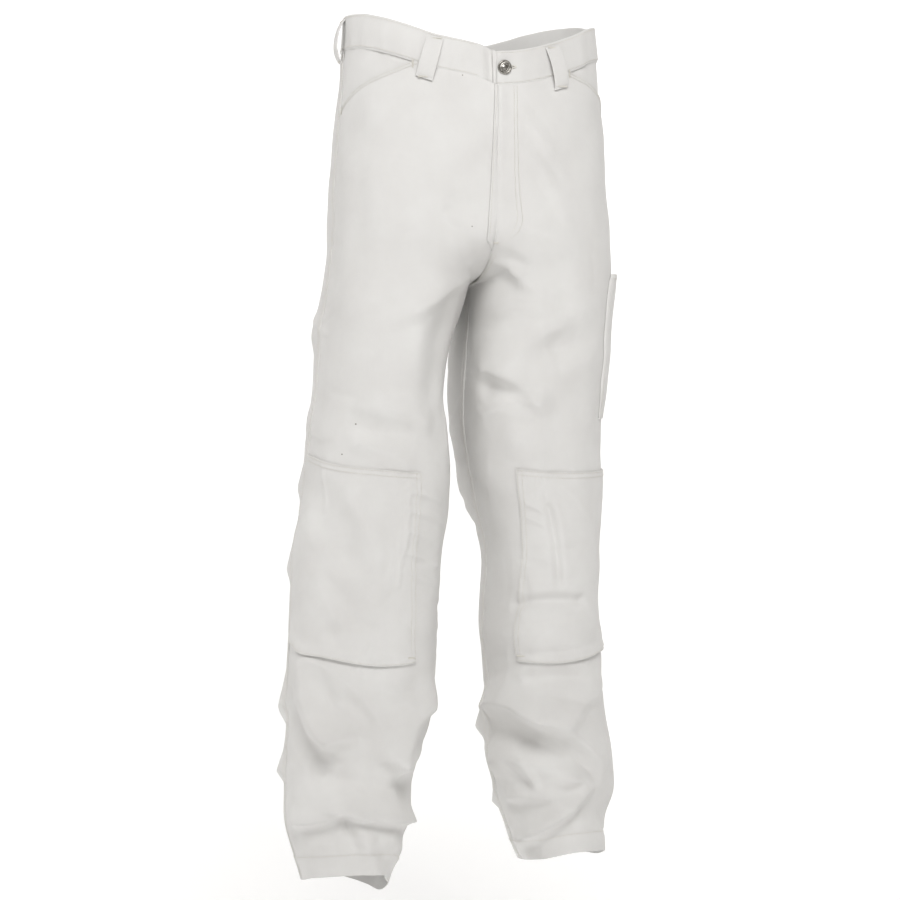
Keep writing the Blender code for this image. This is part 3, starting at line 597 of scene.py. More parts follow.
def cloth_material(name, specks=()):
    """White cotton drill: twill ribs, crossing yarns, fuzz, small dents and faint mottling."""
    made = bpy.data.materials.new(name)
    made.use_nodes = True
    tree = made.node_tree
    shader = tree.nodes["Principled BSDF"]
    shader.inputs["Roughness"].default_value = 0.92
    shader.inputs["Specular IOR Level"].default_value = 0.25
    shader.inputs["Sheen Weight"].default_value = 0.12
    shader.inputs["Sheen Roughness"].default_value = 0.45
    uv = node(tree, "ShaderNodeUVMap", uv_map="cloth")
    place = node(tree, "ShaderNodeTexCoord")
    twill_way = node(tree, "ShaderNodeMapping")
    twill_way.inputs["Rotation"].default_value = (0, 0, radians(28))
    link(tree, uv.outputs["UV"], twill_way.inputs["Vector"])
    twill = node(tree, "ShaderNodeTexWave", Scale=TWILL_SCALE, Distortion=0.6, Detail=1.0, Detail_Scale=0.6)
    link(tree, twill_way.outputs["Vector"], twill.inputs["Vector"])
    yarn = node(tree, "ShaderNodeTexWave", bands_direction="Y", Scale=YARN_SCALE, Distortion=0.8, Detail=1.0)
    link(tree, uv.outputs["UV"], yarn.inputs["Vector"])
    fuzz = node(tree, "ShaderNodeTexNoise", Scale=1400.0, Detail=2.0)
    dents = node(tree, "ShaderNodeTexNoise", Scale=150.0, Detail=3.0, Roughness=0.55)
    mottle = node(tree, "ShaderNodeTexNoise", Scale=14.0, Detail=5.0, Roughness=0.6)
    for texture in (fuzz, dents, mottle):
        link(tree, place.outputs["Object"], texture.inputs["Vector"])
    bumps = None
    for texture, output, distance, strength in ((dents, "Fac", 0.00035, 0.30), (twill, "Fac", 0.00016, 0.45),
                                                (yarn, "Fac", 0.00006, 0.35), (fuzz, "Fac", 0.00008, 0.30)):
        bump = node(tree, "ShaderNodeBump", Distance=distance, Strength=strength)
        link(tree, texture.outputs[output], bump.inputs["Height"])
        if bumps:
            link(tree, bumps.outputs["Normal"], bump.inputs["Normal"])
        bumps = bump
    link(tree, bumps.outputs["Normal"], shader.inputs["Normal"])
    tone = node(tree, "ShaderNodeValToRGB")
    tone.color_ramp.elements[0].position, tone.color_ramp.elements[1].position = 0.30, 0.72
    tone.color_ramp.elements[0].color = (*DULL_COTTON, 1)
    tone.color_ramp.elements[1].color = (*CLEAN_COTTON, 1)
    link(tree, mottle.outputs["Fac"], tone.inputs["Fac"])
    ribs = node(tree, "ShaderNodeMix", data_type="RGBA", blend_type="MULTIPLY")
    shade = node(tree, "ShaderNodeMapRange")
    shade.inputs["To Min"].default_value = 0.93
    link(tree, twill.outputs["Fac"], shade.inputs["Value"])
    ribs.inputs["Factor"].default_value = 1.0
    link(tree, tone.outputs["Color"], ribs.inputs["A"])
    link(tree, shade.outputs["Result"], ribs.inputs["B"])
    colour = ribs.outputs["Result"]
    for x, z, radius in specks:
        flat = node(tree, "ShaderNodeVectorMath", operation="MULTIPLY")
        flat.inputs[1].default_value = (1, 0, 1)
        link(tree, place.outputs["Object"], flat.inputs[0])
        reach = node(tree, "ShaderNodeVectorMath", operation="DISTANCE")
        reach.inputs[1].default_value = (x * MM, 0, z * MM)
        link(tree, flat.outputs["Vector"], reach.inputs[0])
        near = node(tree, "ShaderNodeMapRange")
        near.inputs["From Min"].default_value = radius * MM
        near.inputs["From Max"].default_value = 0.4 * radius * MM
        link(tree, reach.outputs["Value"], near.inputs["Value"])
        dot = node(tree, "ShaderNodeMix", data_type="RGBA")
        dot.inputs["B"].default_value = (*SPECK, 1)
        link(tree, near.outputs["Result"], dot.inputs["Factor"])
        link(tree, colour, dot.inputs["A"])
        colour = dot.outputs["Result"]
    link(tree, colour, shader.inputs["Base Color"])
    return made


def thread_material():
    """Slightly glossy twisted sewing thread."""
    made = bpy.data.materials.new("sewing_thread")
    made.use_nodes = True
    tree = made.node_tree
    shader = tree.nodes["Principled BSDF"]
    shader.inputs["Roughness"].default_value = 0.6
    shader.inputs["Specular IOR Level"].default_value = 0.4
    place = node(tree, "ShaderNodeTexCoord")
    twist = node(tree, "ShaderNodeTexNoise", Scale=2600.0, Detail=1.0)
    link(tree, place.outputs["Object"], twist.inputs["Vector"])
    tone = node(tree, "ShaderNodeValToRGB")
    tone.color_ramp.elements[0].color = (0.60, 0.58, 0.53, 1)
    tone.color_ramp.elements[1].color = (0.84, 0.82, 0.77, 1)
    link(tree, twist.outputs["Fac"], tone.inputs["Fac"])
    link(tree, tone.outputs["Color"], shader.inputs["Base Color"])
    bump = node(tree, "ShaderNodeBump", Distance=0.0001, Strength=0.5)
    link(tree, twist.outputs["Fac"], bump.inputs["Height"])
    link(tree, bump.outputs["Normal"], shader.inputs["Normal"])
    return made


def metal_material():
    """Dark nickel, with random patches that are brighter and smoother than the rest."""
    made = bpy.data.materials.new("dark_nickel_worn")
    made.use_nodes = True
    tree = made.node_tree
    shader = tree.nodes["Principled BSDF"]
    shader.inputs["Metallic"].default_value = 1.0
    place = node(tree, "ShaderNodeTexCoord")
    wear = node(tree, "ShaderNodeTexNoise", Scale=420.0, Detail=4.0, Roughness=0.6)
    link(tree, place.outputs["Object"], wear.inputs["Vector"])
    tone = node(tree, "ShaderNodeValToRGB")
    tone.color_ramp.elements[0].position, tone.color_ramp.elements[1].position = 0.38, 0.66
    tone.color_ramp.elements[0].color = (0.20, 0.19, 0.17, 1)
    tone.color_ramp.elements[1].color = (0.52, 0.50, 0.47, 1)
    link(tree, wear.outputs["Fac"], tone.inputs["Fac"])
    link(tree, tone.outputs["Color"], shader.inputs["Base Color"])
    rough = node(tree, "ShaderNodeMapRange")
    rough.inputs["To Min"].default_value, rough.inputs["To Max"].default_value = 0.42, 0.24
    link(tree, wear.outputs["Fac"], rough.inputs["Value"])
    link(tree, rough.outputs["Result"], shader.inputs["Roughness"])
    bump = node(tree, "ShaderNodeBump", Distance=0.0001, Strength=0.3)
    link(tree, wear.outputs["Fac"], bump.inputs["Height"])
    link(tree, bump.outputs["Normal"], shader.inputs["Normal"])
    return made


# Meshes
def add_mesh(name, verts, faces, look, nodes=(), uv=None, smooth=True):
    """Mesh object from arrays of points and faces, riding on the frame and standing for nodes."""
    mesh = bpy.data.meshes.new(name)
    mesh.from_pydata(np.asarray(verts).tolist(), [], faces if isinstance(faces, list) else faces.tolist())
    if uv is not None:
        layer = mesh.uv_layers.new(name="cloth")
        corner = np.zeros(len(mesh.loops), int)
        mesh.loops.foreach_get("vertex_index", corner)
        layer.data.foreach_set("uv", np.asarray(uv)[corner].ravel())
    bm = bmesh.new()
    bm.from_mesh(mesh)
    bmesh.ops.recalc_face_normals(bm, faces=bm.faces[:])
    bm.to_mesh(mesh)
    bm.free()
    mesh.materials.append(look)
    if smooth:
        mesh.shade_smooth()
    made = bpy.data.objects.new(name, mesh)
    bpy.context.scene.collection.objects.link(made)
    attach(made, "root")
    if nodes:
        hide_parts(*nodes)
    return made


def wall_faces(n, m):
    """Faces of the closed wall between two n by m grids, the second one's points after the first's."""
    i, j = np.meshgrid(np.arange(n - 1), np.arange(m - 1), indexing="ij")
    a = (i * m + j).ravel()
    outer = np.stack([a, a + m, a + m + 1, a + 1], 1)
    inner = outer[:, ::-1] + n * m
    ring = np.concatenate([np.arange(m), m * np.arange(1, n) + m - 1,
                           m * (n - 1) + np.arange(m - 2, -1, -1), m * np.arange(n - 2, 0, -1)])
    ahead = np.roll(ring, -1)
    rim = np.stack([ring, ahead, ahead + n * m, ring + n * m], 1)
    return np.concatenate([outer, inner, rim])


def add_wall(name, outer, inner, uv, look, nodes):
    verts = np.concatenate([outer.reshape(-1, 3), inner.reshape(-1, 3)])
    flat = np.asarray(uv).reshape(-1, 2)
    made = add_mesh(name, verts, wall_faces(*outer.shape[:2]), look, nodes,
                    np.concatenate([flat, flat]))
    made.data.set_sharp_from_angle(angle=radians(65))
    return made


def roll(shape, rim, depth):
    """How far a turned edge of a grid falls away, over its outermost rows and columns."""
    n, m = shape
    i, j = np.arange(n)[:, None], np.arange(m)[None, :]
    near = np.minimum(np.minimum(i, n - 1 - i), np.minimum(j, m - 1 - j))
    return depth * np.clip(1 - near / rim, 0, 1)


def add_panel(name, side, v, u, look, nodes, lift=0.0, thick=CLOTH):
    """Panel over the grid of v and u, its outer face lifted off the form by lift."""
    v, u, lift = np.broadcast_arrays(v, u, lift)
    outer = cloth_point(side, v, u, lift)
    inner = cloth_point(side, v, u, lift - thick)
    uv = np.stack([(u - 0.25) * 0.55, outer[..., 2]], -1)
    return add_wall(name, outer, inner, uv, look, nodes)


def slant_edge(v):
    """u of the front panel's outer edge, which the slant pocket cuts back."""
    return np.minimum(SLANT_START + (0.5 - SLANT_START) * v / SLANT_END, 0.5)


def knee_medial(side, v):
    top, bottom = KNEE_MEDIAL[side]
    share = np.clip((v - 1 - KEY_SHARES[1]) / (KEY_SHARES[2] - KEY_SHARES[1]), 0, 1)
    return top + (bottom - top) * share


ROWS = steps(0, 22, SLANT_END, 52, 1, 78, 1 + KEY_SHARES[1], 78, 1 + KEY_SHARES[2], 88, 2)


def fly_reach(v):
    """How far the left front laps over the right one, as u under 0."""
    return np.interp(v, LAP_ROWS, LAP_REACH)


def hem_turn(v):
    """Extra lift of the turned hem."""
    return HEM_LIFT * smooth((v - HEM_START) / 0.006)


def felled(away):
    """Extra lift of a felled seam's double layer, at a distance from the seam."""
    return FELL_LIFT * smooth((FELL_WIDTH - away) / 0.002)


def add_fronts():
    share = steps(0, 12, FLY_SHARE, 62, 0.5)
    v = ROWS[:, None]
    squeeze = (slant_edge(v) - FLY_SHARE) / (0.5 - FLY_SHARE)
    u = np.where(share > FLY_SHARE, FLY_SHARE + (share - FLY_SHARE) * squeeze, share)
    for side in HALVES:
        front_u = u
        lift = hem_turn(v) + 0 * u
        mouth = np.clip((slant_edge(v) - u) * ARC_PER_U, 0, 1)
        lift = lift + np.where(v < SLANT_END, MOUTH_LIFT * smooth(1 - mouth / MOUTH_HEM), 0)
        if side == "left":
            lapped = fly_reach(v)
            front_u = np.concatenate([-lapped, -0.66 * lapped, -0.33 * lapped, u], 1)
            extra = smooth((FLY_PAD - np.abs(front_u)) / 0.012) * FLY_PAD_LIFT * (v < J_END)
            closing = smooth((LAP_ROWS[-1] - v) / 0.03)
            over = LAP_LIFT * smooth((LAP_FADE - front_u) / LAP_FADE) * closing
            lift = np.concatenate([lift[:, :1]] * 3 + [lift], 1) + extra + over
        add_panel("front_panel_" + side, side, v, front_u, front_look[side], ["front_" + side], lift)


def add_backs():
    u = steps(0.5, 72, 1)[None, :]
    v = ROWS[:, None]
    for side in HALVES:
        low = v > 1
        away = np.where(low, np.minimum(u - 0.5, 1 - u), u - 0.5) * ARC_PER_U
        lift = felled(away) + hem_turn(v)
        add_panel("back_panel_" + side, side, v, u, plain_look, ["back_" + side], lift)


def add_slant_facings():
    v = steps(-0.004, 26, FACING_LOW, 4, FACING_END)[:, None]
    v = np.maximum(v, 0.004)
    v[0] = 0.0015
    share = steps(0, 4, 0.15, 20, 1)[None, :]
    mouth = np.minimum(slant_edge(v), FACING_NARROW)
    u = mouth - 0.028 + (0.5 - mouth + 0.028) * share
    deep = -CLOTH - 2 * GAP - np.where(v >= FACING_LOW, FACING_SLACK, 0)
    rise = smooth((u - mouth - 0.01) / np.maximum(0.49 - mouth, 0.03)) * (v < FACING_LOW)
    for side in HALVES:
        add_panel("slant_facing_" + side, side, v, u, plain_look, ["pocket_facing_" + side],
                  deep - deep * 0.8 * rise)


def add_knee_pockets():
    v = ROWS[(ROWS > 1 + KEY_SHARES[1] - 1e-6) & (ROWS < 1 + KEY_SHARES[2] + 1e-6)][:, None]
    down = (v - v[0]) / (v[-1] - v[0])
    for side in HALVES:
        share = steps(0, 84, 1)[None, :]
        medial = knee_medial(side, v)
        u = medial + (0.5 - medial) * share
        edge = np.minimum((v - v[0]) * LEG_PER_V, np.minimum((v[-1] - v) * LEG_PER_V, (u - medial) * ARC_PER_U))
        turned = 0.0005 * smooth((0.0075 - edge) / 0.002)
        gape = KNEE_GAPE * smooth((down - 0.93) / 0.07) * np.sin(pi * np.clip(share, 0, 1)) ** 0.6
        lift = CLOTH + GAP + turned + gape - roll(turned.shape, 2, 0.0004)
        add_panel("knee_patch_" + side, side, v, u, front_look[side], ["knee_pocket_" + side], lift)


def add_tool_pocket():
    v = steps(TOOL_TOP, 60, TOOL_BOTTOM)[:, None]
    u = steps(TOOL_FRONT, 44, TOOL_REAR)[None, :]
    across = np.sin(pi * (u - TOOL_FRONT) / (TOOL_REAR - TOOL_FRONT)) ** 0.5
    down = (v - TOOL_TOP) / (TOOL_BOTTOM - TOOL_TOP)
    along = (0.85 + 0.15 * np.sin(pi * down)) * (1 - down**3)
    turned = 0.0006 * smooth((0.085 - down) / 0.01)
    lift = CLOTH + GAP + TOOL_BOW * along * across + turned
    add_panel("tool_pocket_patch", "left", v, u, plain_look, ["tool_pocket_left"], lift)


def band_profile(h):
    """Lift of the waistband's outer face by height: soft edges and a slight fullness between."""
    near = np.minimum(h, BAND_HEIGHT - h)
    full = 0.0004 * np.sin(pi * np.clip(h / BAND_HEIGHT, 0, 1))
    return full - 0.0011 * (1 - np.sqrt(np.clip(1 - (1 - np.clip(near / 0.0016, 0, 1)) ** 2, 0, 1)))


def band_waves(u, h):
    along = u * ARC_PER_U
    low = np.exp(-np.clip(h - 0.003, 0, None) / 0.010)
    return (0.00035 * np.sin(2 * pi * along / 0.011 + 1.7 * np.sin(2 * pi * along / 0.05)) * low
            + 0.0005 * np.sin(2 * pi * along / 0.075 + 1.1) + 0.0003 * np.sin(2 * pi * along / 0.031))


def band_strip(places, heights):
    """Waistband along places (side, u, lift of its outer face): its faces and their UV."""
    outer, inner, uv = [], [], []
    for side, u, lift in places:
        wave = band_waves(u if side == "left" else u + 0.37, heights)
        face = lift + band_profile(heights) + wave
        back = lift - BAND_CLOTH - band_profile(heights) + wave
        outer.append(HALVES[side].surface(0 * heights, u, face, heights))
        inner.append(HALVES[side].surface(0 * heights, u, back, heights))
        uv.append(np.stack([0 * heights + (u if side == "left" else -u) * ARC_PER_U, heights], -1))
    return np.stack(outer, 1), np.stack(inner, 1), np.stack(uv, 1)


def add_waistband():
    """Two halves joined at the centre back; the left one laps over the right at the front."""
    heights = np.array([-0.0012, -0.0009, -0.0004, 0.0006, 0.002, 0.004, 0.007, 0.011, 0.016, 0.021,
                        0.026, 0.031, 0.034, 0.0365, 0.038, 0.0392, 0.0397, 0.0400])
    under = BAND_PROUD - BAND_CLOTH - 3 * GAP
    u = steps(0, 12, 0.05, 110, 1)
    right = [("right", k, under + (BAND_PROUD - under) * float(smooth((k - 0.016) / 0.030))) for k in u[::-1]]
    right += [("left", k, under) for k in (0.02, 0.04, 0.06)]
    left = [("left", k, BAND_PROUD) for k in u[::-1]]
    left += [("right", k, BAND_PROUD) for k in (0.004, 0.008, 0.0112, 0.0120)]
    for side, places in (("right", right), ("left", left)):
        outer, inner, uv = band_strip(places, heights)
        add_wall("waistband_cloth_" + side, outer, inner, uv, front_look[side], ["waistband_" + side])


def fly_strip(name, node_name, columns, lift, thick):
    """Strip behind the fly, from negative u on the right side to positive u on the left."""
    v = steps(0.002, 40, FLY_LOW)[:, None]
    u = np.array(columns)[None, :]
    faces = [cloth_point("left", v, u, depth) for depth in (lift, lift - thick)]
    uv = np.stack(np.broadcast_arrays(u * ARC_PER_U, v * 0.3), -1)
    return add_wall(name, *faces, uv, plain_look, [node_name])


def add_fly():
    """Zip tape under the left front's edge, and the shield behind it."""
    half = FLY_SHARE / 2
    fly_strip("zip_tape", "fly_zip", np.linspace(-half, half, 13), -CLOTH - 2 * GAP, 0.0008)
    fly_strip("zip_guard", "fly_shield", np.linspace(-half, 2 * half, 19), -CLOTH - 0.0008 - 3 * GAP, CLOTH)


def loop_places():
    half_width = 0.5 * LOOP_WIDTH / WAIST_ARC
    table = (("front_right", "right", 0.168, 0.196, 0.006), ("front_left", "left", 0.172, 0.190, 0.006),
             ("side_right", "right", 0.505, 0.520, 0.008), ("side_left", "left", 0.535, 0.545, 0.008),
             ("back", "right", 1.0, 1.0, 0.007))
    return half_width, table


def strap_point(side, u, height, lift):
    """Point at a height over or under the waist seam, where u over 1 lies on the other side."""
    half, place = HALVES[side], u
    if u > 1:
        half, place = HALVES[OTHER[side]], 2 - u
    v = max(-height, 0) / half.rise["front"]["length"]
    return half.surface(v, place, lift, max(height, 0))


def add_belt_loops():
    """Folded straps over the waistband, tacked flat at both ends and bowed out between."""
    half_width, table = loop_places()
    top, bottom = BAND_HEIGHT - LOOP_BELOW_TOP, -LOOP_BELOW_SEAM
    across = np.array([-1, -0.97, -0.9, -0.75, -0.5, -0.25, 0, 0.25, 0.5, 0.75, 0.9, 0.97, 1])
    edge = 0.0006 * (1 - np.sqrt(np.clip(1 - np.clip((np.abs(across) - 0.88) / 0.12, 0, 1) ** 2, 0, 1)))
    ridges = 0.0002 * bell(np.abs(across), 0.62, 0.16)
    for name, side, u_top, u_bottom, bow in table:
        grids, lines = [], {}
        for face in (1, 0):
            rows = []
            for s in np.linspace(0, 1, 37):
                pressed = min(s, 1 - s) < 0.075
                base = BAND_PROUD + 2 * GAP + bow * np.sin(pi * np.clip((s - 0.03) / 0.94, 0, 1)) ** 0.7
                height = top + (bottom - top) * s
                middle = u_top + (u_bottom - u_top) * s
                rows.append([strap_point(side, middle + half_width * a, height,
                                         base + (LOOP_CLOTH + r - e - 0.0002 * pressed if face else e))
                             for a, e, r in zip(across, edge, ridges)])
            grids.append(np.array(rows))
        uv = np.stack(np.meshgrid(across * half_width * WAIST_ARC, np.linspace(0, 0.053, 37)), -1)
        add_wall("loop_strap_" + name, grids[0], grids[1], uv, plain_look, ["belt_loop_" + name])


# Sewing
class Sewing:
    """Collects stitches, each a short bent tube whose ends sink into the cloth."""
    SIDES = 5
    PROFILE = ((0.0, -0.00022, 0.6), (0.18, 0.00016, 1.0), (0.82, 0.00016, 1.0), (1.0, -0.00022, 0.6))

    def __init__(self):
        self.verts, self.count = [], 0

    def stitches(self, a, b, normals, radius=THREAD):
        """One stitch from each a to each b, standing off the cloth along normals."""
        way = b - a
        length = np.linalg.norm(way, axis=-1, keepdims=True)
        keep = length[:, 0] > 1e-6
        a, way, normals = a[keep], way[keep] / length[keep], normals[keep]
        length = length[keep]
        side = np.cross(way, normals)
        side /= np.linalg.norm(side, axis=-1, keepdims=True)
        up = np.cross(side, way)
        turn = np.linspace(0, 2 * pi, self.SIDES, endpoint=False)
        rings = []
        for share, height, wide in self.PROFILE:
            centre = a + way * length * share + normals * height
            ring = centre[:, None] + radius * wide * (np.cos(turn)[None, :, None] * side[:, None]
                                                      + np.sin(turn)[None, :, None] * up[:, None])
            rings.append(ring)
        self.verts.append(np.stack(rings, 1).reshape(-1, 3))
        self.count += len(a)

    def line(self, side, v, u, lift=0.0, over=0.0, pitch=STITCH):
        """Stitches along a line on the cloth through the places v, u."""
        v, u, lift, over = np.broadcast_arrays(*(np.atleast_1d(np.asarray(x, float)) for x in (v, u, lift, over)))
        points = cloth_point(side, v, u, lift, over)
        normals = cloth_normal(side, v, u, over)
        run = np.concatenate([[0], np.cumsum(np.linalg.norm(np.diff(points, axis=0), axis=1))])
        starts = np.arange(0, run[-1] - pitch, pitch)
        ends = starts + pitch * 0.80

        def read(values, at):
            return np.stack([np.interp(at, run, values[:, k]) for k in range(3)], -1)
        self.stitches(read(points, starts), read(points, ends), read(normals, starts))

    def tack(self, side, v, u, lift, length, width, turn=0.0, over=0.0):
        """Bar tack: close threads across a short bar, turned from upright by turn."""
        p = cloth_point(side, v, u, lift, over)
        n = cloth_normal(side, v, u, over)
        level = np.array([-n[1], n[0], 0.0])
        up = np.cross(level, n)
        up = up * np.sign(up[2])
        along = np.cos(turn) * up + np.sin(turn) * level
        across = np.cross(along, n)
        count = int(length / 0.00062)
        at = (np.arange(count) - count / 2 + 0.5)[:, None] * 0.00062
        a = p + along * at - across * width / 2
        b = p + along * (at + 0.0002) + across * width / 2
        self.stitches(a, b, np.repeat(n[None], count, 0), 0.00034)

    def finish(self, name):
        verts = np.concatenate(self.verts)
        n, m = self.SIDES, len(self.PROFILE)
        base = (np.arange(self.count) * n * m)[:, None]
        faces = []
        for r in range(m - 1):
            for k in range(n):
                quad = np.array([r * n + k, r * n + (k + 1) % n, (r + 1) * n + (k + 1) % n, (r + 1) * n + k])
                faces += (base + quad).tolist()
        faces += (base + np.arange(n)[::-1]).tolist()
        faces += (base + (m - 1) * n + np.arange(n)).tolist()
        return add_mesh(name, verts, faces, thread_look)


def add_leg_sewing(side):
    """Felled seams, hem, knee pocket and the slant pocket's mouth on one side."""
    sewing = Sewing()
    leg = np.linspace(1.0, 1.995, 500)
    body = np.linspace(0.02, 1.0, 160)
    whole = np.linspace(0.02, 1.995, 700)
    per_u = 1 / ARC_PER_U
    for away in (0.0018, 0.0078):
        sewing.line(side, whole, 0.5 + away * per_u, FELL_LIFT + hem_turn(whole))
        sewing.line(side, leg, 1 - away * per_u, FELL_LIFT + hem_turn(leg))
    for u0, u1 in ((0.0, 0.5), (0.5, 1.0)):
        u = np.linspace(u0, u1, 200)
        sewing.line(side, HEM_START + 0.004, u, HEM_LIFT + felled(np.minimum(u - 0.5, 1 - u) * ARC_PER_U) * (u > 0.5))
    for away in (0.0016, 0.0078):
        v = np.linspace(0.006, SLANT_END - 0.004, 60)
        sewing.line(side, v, slant_edge(v) - away * per_u, MOUTH_LIFT)
    top, bottom = 1 + KEY_SHARES[1], 1 + KEY_SHARES[2]
    v = np.linspace(top + 0.002, bottom - 0.002, 160)
    raised = CLOTH + GAP + 0.0004
    for away in (0.0016, 0.0070):
        sewing.line(side, v, knee_medial(side, v) + away * per_u, raised)
        u = np.linspace(KNEE_MEDIAL[side][0] + 0.003, 0.497, 160)
        sewing.line(side, top + away / LEG_PER_V, u, raised)
    u = np.linspace(KNEE_MEDIAL[side][1] + 0.003, 0.497, 160)
    gape = KNEE_GAPE * np.sin(pi * np.clip((u - u[0]) / (u[-1] - u[0]), 0, 1)) ** 0.6 * 0.9
    sewing.line(side, bottom - 0.0016 / LEG_PER_V, u, raised + gape)
    sewing.tack(side, bottom - 0.010, KNEE_MEDIAL[side][1] + 0.016, raised + 0.0004, 0.010, 0.0024, pi / 2)
    sewing.tack(side, 0.012, slant_edge(0.012) - 0.008, MOUTH_LIFT, 0.010, 0.0024)
    sewing.tack(side, SLANT_END - 0.012, slant_edge(SLANT_END - 0.012) - 0.008, MOUTH_LIFT, 0.009, 0.0024)
    sewing.finish("sewing_leg_" + side)


def add_middle_sewing():
    """Fly, rise seams, waistband, loops and tool pocket."""
    sewing = Sewing()
    per_u = 1 / ARC_PER_U
    v, u = (np.interp(np.linspace(0, 1, 200), np.linspace(0, 1, len(J_STITCH)), [r[k] for r in J_STITCH]) for k in (0, 1))
    for aside in (0.0, 0.0045):
        sewing.line("left", v, u + aside * per_u, FLY_PAD_LIFT + 0.0001)
    edge = np.linspace(0.01, 0.56, 120)
    sewing.line("left", edge, -fly_reach(edge) + 0.0018 * per_u, FLY_PAD_LIFT + LAP_LIFT)
    sewing.tack("left", 0.588, 0.004, LAP_LIFT * 0.6 + FLY_PAD_LIFT, 0.011, 0.0026, pi / 2)
    low = np.linspace(0.64, 0.985, 60)
    sewing.line("left", low, 0.0045, 0.0002)
    sewing.line("left", low, 0.0145, 0.0002)
    rear = np.linspace(0.01, 0.985, 160)
    sewing.line("left", rear, 1 - 0.0045, 0.0002)
    sewing.line("left", rear, 1 - 0.0145, 0.0002)
    for side in HALVES:
        start = -0.010 if side == "left" else 0.055
        along = np.linspace(max(start, 0.0), 0.997, 420)
        for height in (0.0022, BAND_HEIGHT - 0.0025):
            wave = band_waves(along if side == "left" else along + 0.37, np.full(along.shape, height))
            sewing.line(side, 0.0, along, BAND_PROUD + wave + 0.0002, height)
    half_width, table = loop_places()
    for name, side, u_top, u_bottom, bow in table:
        for s, height in ((0.04, BAND_HEIGHT - LOOP_BELOW_TOP - 0.0024), (0.96, -LOOP_BELOW_SEAM + 0.0022)):
            middle = u_top + (u_bottom - u_top) * s
            lift = BAND_PROUD + 2 * GAP + LOOP_CLOTH + bow * np.sin(pi * np.clip((s - 0.03) / 0.94, 0, 1)) ** 0.7
            v = max(-height, 0) / HALVES[side].rise["front"]["length"]
            sewing.tack(side, v, min(middle, 1), lift, 0.015, 0.0022, pi / 2, max(height, 0))
    v = np.linspace(TOOL_TOP + 0.004, TOOL_BOTTOM - 0.004, 120)
    for u in (TOOL_FRONT + 0.004, TOOL_REAR - 0.004):
        sewing.line("left", v, u, CLOTH + GAP + 0.0012)
    u = np.linspace(TOOL_FRONT + 0.006, TOOL_REAR - 0.006, 100)
    across = np.sin(pi * (u - TOOL_FRONT) / (TOOL_REAR - TOOL_FRONT)) ** 0.5
    for v in (TOOL_TOP + 0.006, TOOL_TOP + 0.020):
        sewing.line("left", v, u, CLOTH + GAP + 0.0006 + TOOL_BOW * 0.86 * across)
    sewing.line("left", TOOL_BOTTOM - 0.004, u, CLOTH + GAP + 0.0003)
    sewing.finish("sewing_middle")


def add_buttonhole():
    """Worked buttonhole that runs level from the button to the wearer's left."""
    sewing = Sewing()
    u0, height = BUTTON_U + 0.012, 0.5 * BAND_HEIGHT
    half = HALVES["left"]
    turn = np.linspace(0, 2 * pi, 64, endpoint=False)
    long, wide = 0.0080, 0.0007
    lift = BAND_PROUD + 0.0008
    def place(a, spread):
        x = (long + spread) * np.cos(a)
        z = (wide + spread) * np.sin(a)
        return half.surface(0 * a, u0 + x / WAIST_ARC, lift, height + z)
    a = np.array([place(np.array(k), 0.0) for k in turn])
    b = np.array([place(np.array(k), 0.0019) for k in turn])
    n = half.outward(0 * turn, u0 + 0 * turn, height + 0 * turn)
    sewing.stitches(a, b, n, 0.00032)
    sewing.finish("buttonhole")


def add_waist_button():
    """Turned metal button with a raised rim, a knurled ring and a domed middle."""
    half = HALVES["left"]
    height = 0.5 * BAND_HEIGHT
    u = np.array(BUTTON_U)
    place = half.surface(0, u, BAND_PROUD + 3 * GAP, height)
    way = Vector(half.outward(np.array(0.0), u, height))
    profile = ((0.0, 0.0), (0.0060, 0.0), (0.0078, 0.0003), (0.0084, 0.0008), (0.0085, 0.0015), (0.0084, 0.0022),
               (0.0080, 0.0028), (0.0074, 0.0030), (0.0069, 0.0027), (0.0067, 0.0022), (0.0060, 0.0020),
               (0.0052, 0.0020), (0.0048, 0.0023), (0.0044, 0.0024), (0.0040, 0.0022), (0.0037, 0.0018),
               (0.0030, 0.0018), (0.0026, 0.0022), (0.0018, 0.0025), (0.0008, 0.0026), (0.0, 0.0026))
    around = 72
    turn = np.linspace(0, 2 * pi, around, endpoint=False)
    verts, faces = [], []
    for r, h in profile[1:-1]:
        knurl = 0.00022 * np.cos(turn * 24) * bell(r, 0.0056, 0.0009) * (h > 0.0015)
        verts += [(r * np.cos(a), r * np.sin(a), h + k) for a, k in zip(turn, knurl)]
    rings = len(profile) - 2
    for i in range(rings - 1):
        for j in range(around):
            faces.append([i * around + j, i * around + (j + 1) % around,
                          (i + 1) * around + (j + 1) % around, (i + 1) * around + j])
    foot, crown = len(verts), len(verts) + 1
    verts += [(0, 0, profile[0][1]), (0, 0, profile[-1][1])]
    for j in range(around):
        faces.append([foot, (j + 1) % around, j])
        faces.append([crown, (rings - 1) * around + j, (rings - 1) * around + (j + 1) % around])
    frame_at = Matrix.Translation(Vector(place)) @ way.to_track_quat("Z", "Y").to_matrix().to_4x4()
    verts = [tuple(frame_at @ Vector(p)) for p in verts]
    button = add_mesh("button_turned", verts, faces, metal_look, ["waist_button"])
    button.data.set_sharp_from_angle(angle=radians(50))


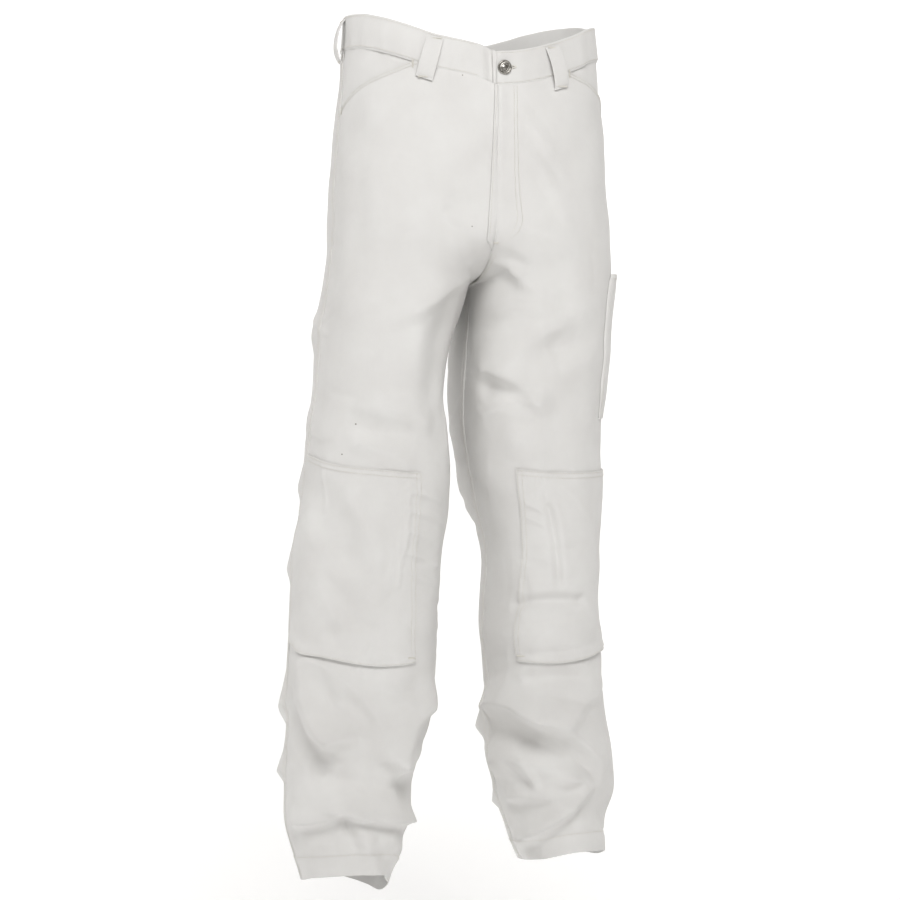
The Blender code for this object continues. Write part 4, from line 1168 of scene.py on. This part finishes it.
def add_zip_teeth():
    """Two rows of zip teeth down the middle of the tape."""
    v = np.linspace(0.02, FLY_LOW - 0.03, 76)
    verts, faces = [], []
    box = np.array([(x, y, z) for x in (-1, 1) for y in (-1, 1) for z in (-1, 1)], float)
    quads = ((0, 1, 3, 2), (4, 6, 7, 5), (0, 4, 5, 1), (2, 3, 7, 6), (0, 2, 6, 4), (1, 5, 7, 3))
    for k, at in enumerate(v):
        p = cloth_point("left", at, 0.0, -CLOTH - 2 * GAP - 0.0004)
        side = 1 if k % 2 else -1
        size = np.array([0.0013, 0.00035, 0.0007])
        base = len(verts)
        verts += [tuple(p + c * size + (side * 0.0006, 0, 0)) for c in box]
        faces += [[base + i for i in q] for q in quads]
    add_mesh("zip_teeth", verts, faces, metal_look, smooth=False)


# Studio
def add_studio():
    """Pale floor that curves up into the wall behind, and soft lights."""
    profile = [(-6.0, FLOOR)] + [(2.2 + 1.6 * np.sin(a), FLOOR + 1.6 * (1 - np.cos(a)))
                                 for a in np.linspace(0, pi / 2, 24)] + [(3.8, 6.0)]
    verts = [(x, y, z) for x in (-9.0, 9.0) for y, z in profile]
    n = len(profile)
    faces = [[k, k + 1, n + k + 1, n + k] for k in range(n - 1)]
    mesh = bpy.data.meshes.new("studio_floor")
    mesh.from_pydata(verts, [], faces)
    mesh.shade_smooth()
    paper = bpy.data.materials.new("studio_paper")
    paper.use_nodes = True
    shader = paper.node_tree.nodes["Principled BSDF"]
    shader.inputs["Base Color"].default_value = (0.93, 0.93, 0.93, 1)
    shader.inputs["Emission Color"].default_value = (1, 1, 1, 1)
    shader.inputs["Emission Strength"].default_value = PAPER_GLOW
    shader.inputs["Roughness"].default_value = 0.95
    mesh.materials.append(paper)
    floor = bpy.data.objects.new("studio_floor", mesh)
    bpy.context.scene.collection.objects.link(floor)
    for name, place, size, power, target in LIGHTS:
        lamp = bpy.data.lights.new(name, "AREA")
        lamp.shape, lamp.size, lamp.energy = "SQUARE", size, power
        made = bpy.data.objects.new(name, lamp)
        made.location = place
        made.rotation_euler = (Vector(target) - Vector(place)).to_track_quat("-Z", "Y").to_euler()
        bpy.context.scene.collection.objects.link(made)
    world = bpy.data.worlds.new("studio_air")
    world.use_nodes = True
    world.node_tree.nodes["Background"].inputs["Color"].default_value = (*AIR_COLOUR, 1)
    world.node_tree.nodes["Background"].inputs["Strength"].default_value = AIR_STRENGTH
    bpy.context.scene.world = world


def add_camera():
    lens = bpy.data.cameras.new("camera")
    lens.lens, lens.sensor_width = CAMERA_LENS, 36
    camera = bpy.data.objects.new("camera", lens)
    camera.location = CAMERA_PLACE
    camera.rotation_euler = (pi / 2, 0, -radians(CAMERA_AZIMUTH))
    bpy.context.scene.collection.objects.link(camera)
    bpy.context.scene.camera = camera
    bpy.context.scene.view_settings.view_transform = "Standard"


plain_look = cloth_material("cotton_drill")
front_look = dict(left=plain_look, right=cloth_material("cotton_drill_specked", SPECKS))
thread_look = thread_material()
metal_look = metal_material()

add_fronts()
add_backs()
add_slant_facings()
add_knee_pockets()
add_tool_pocket()
add_waistband()
add_fly()
add_zip_teeth()
add_belt_loops()
add_waist_button()
add_leg_sewing("right")
add_leg_sewing("left")
add_middle_sewing()
add_buttonhole()
add_studio()
add_camera()
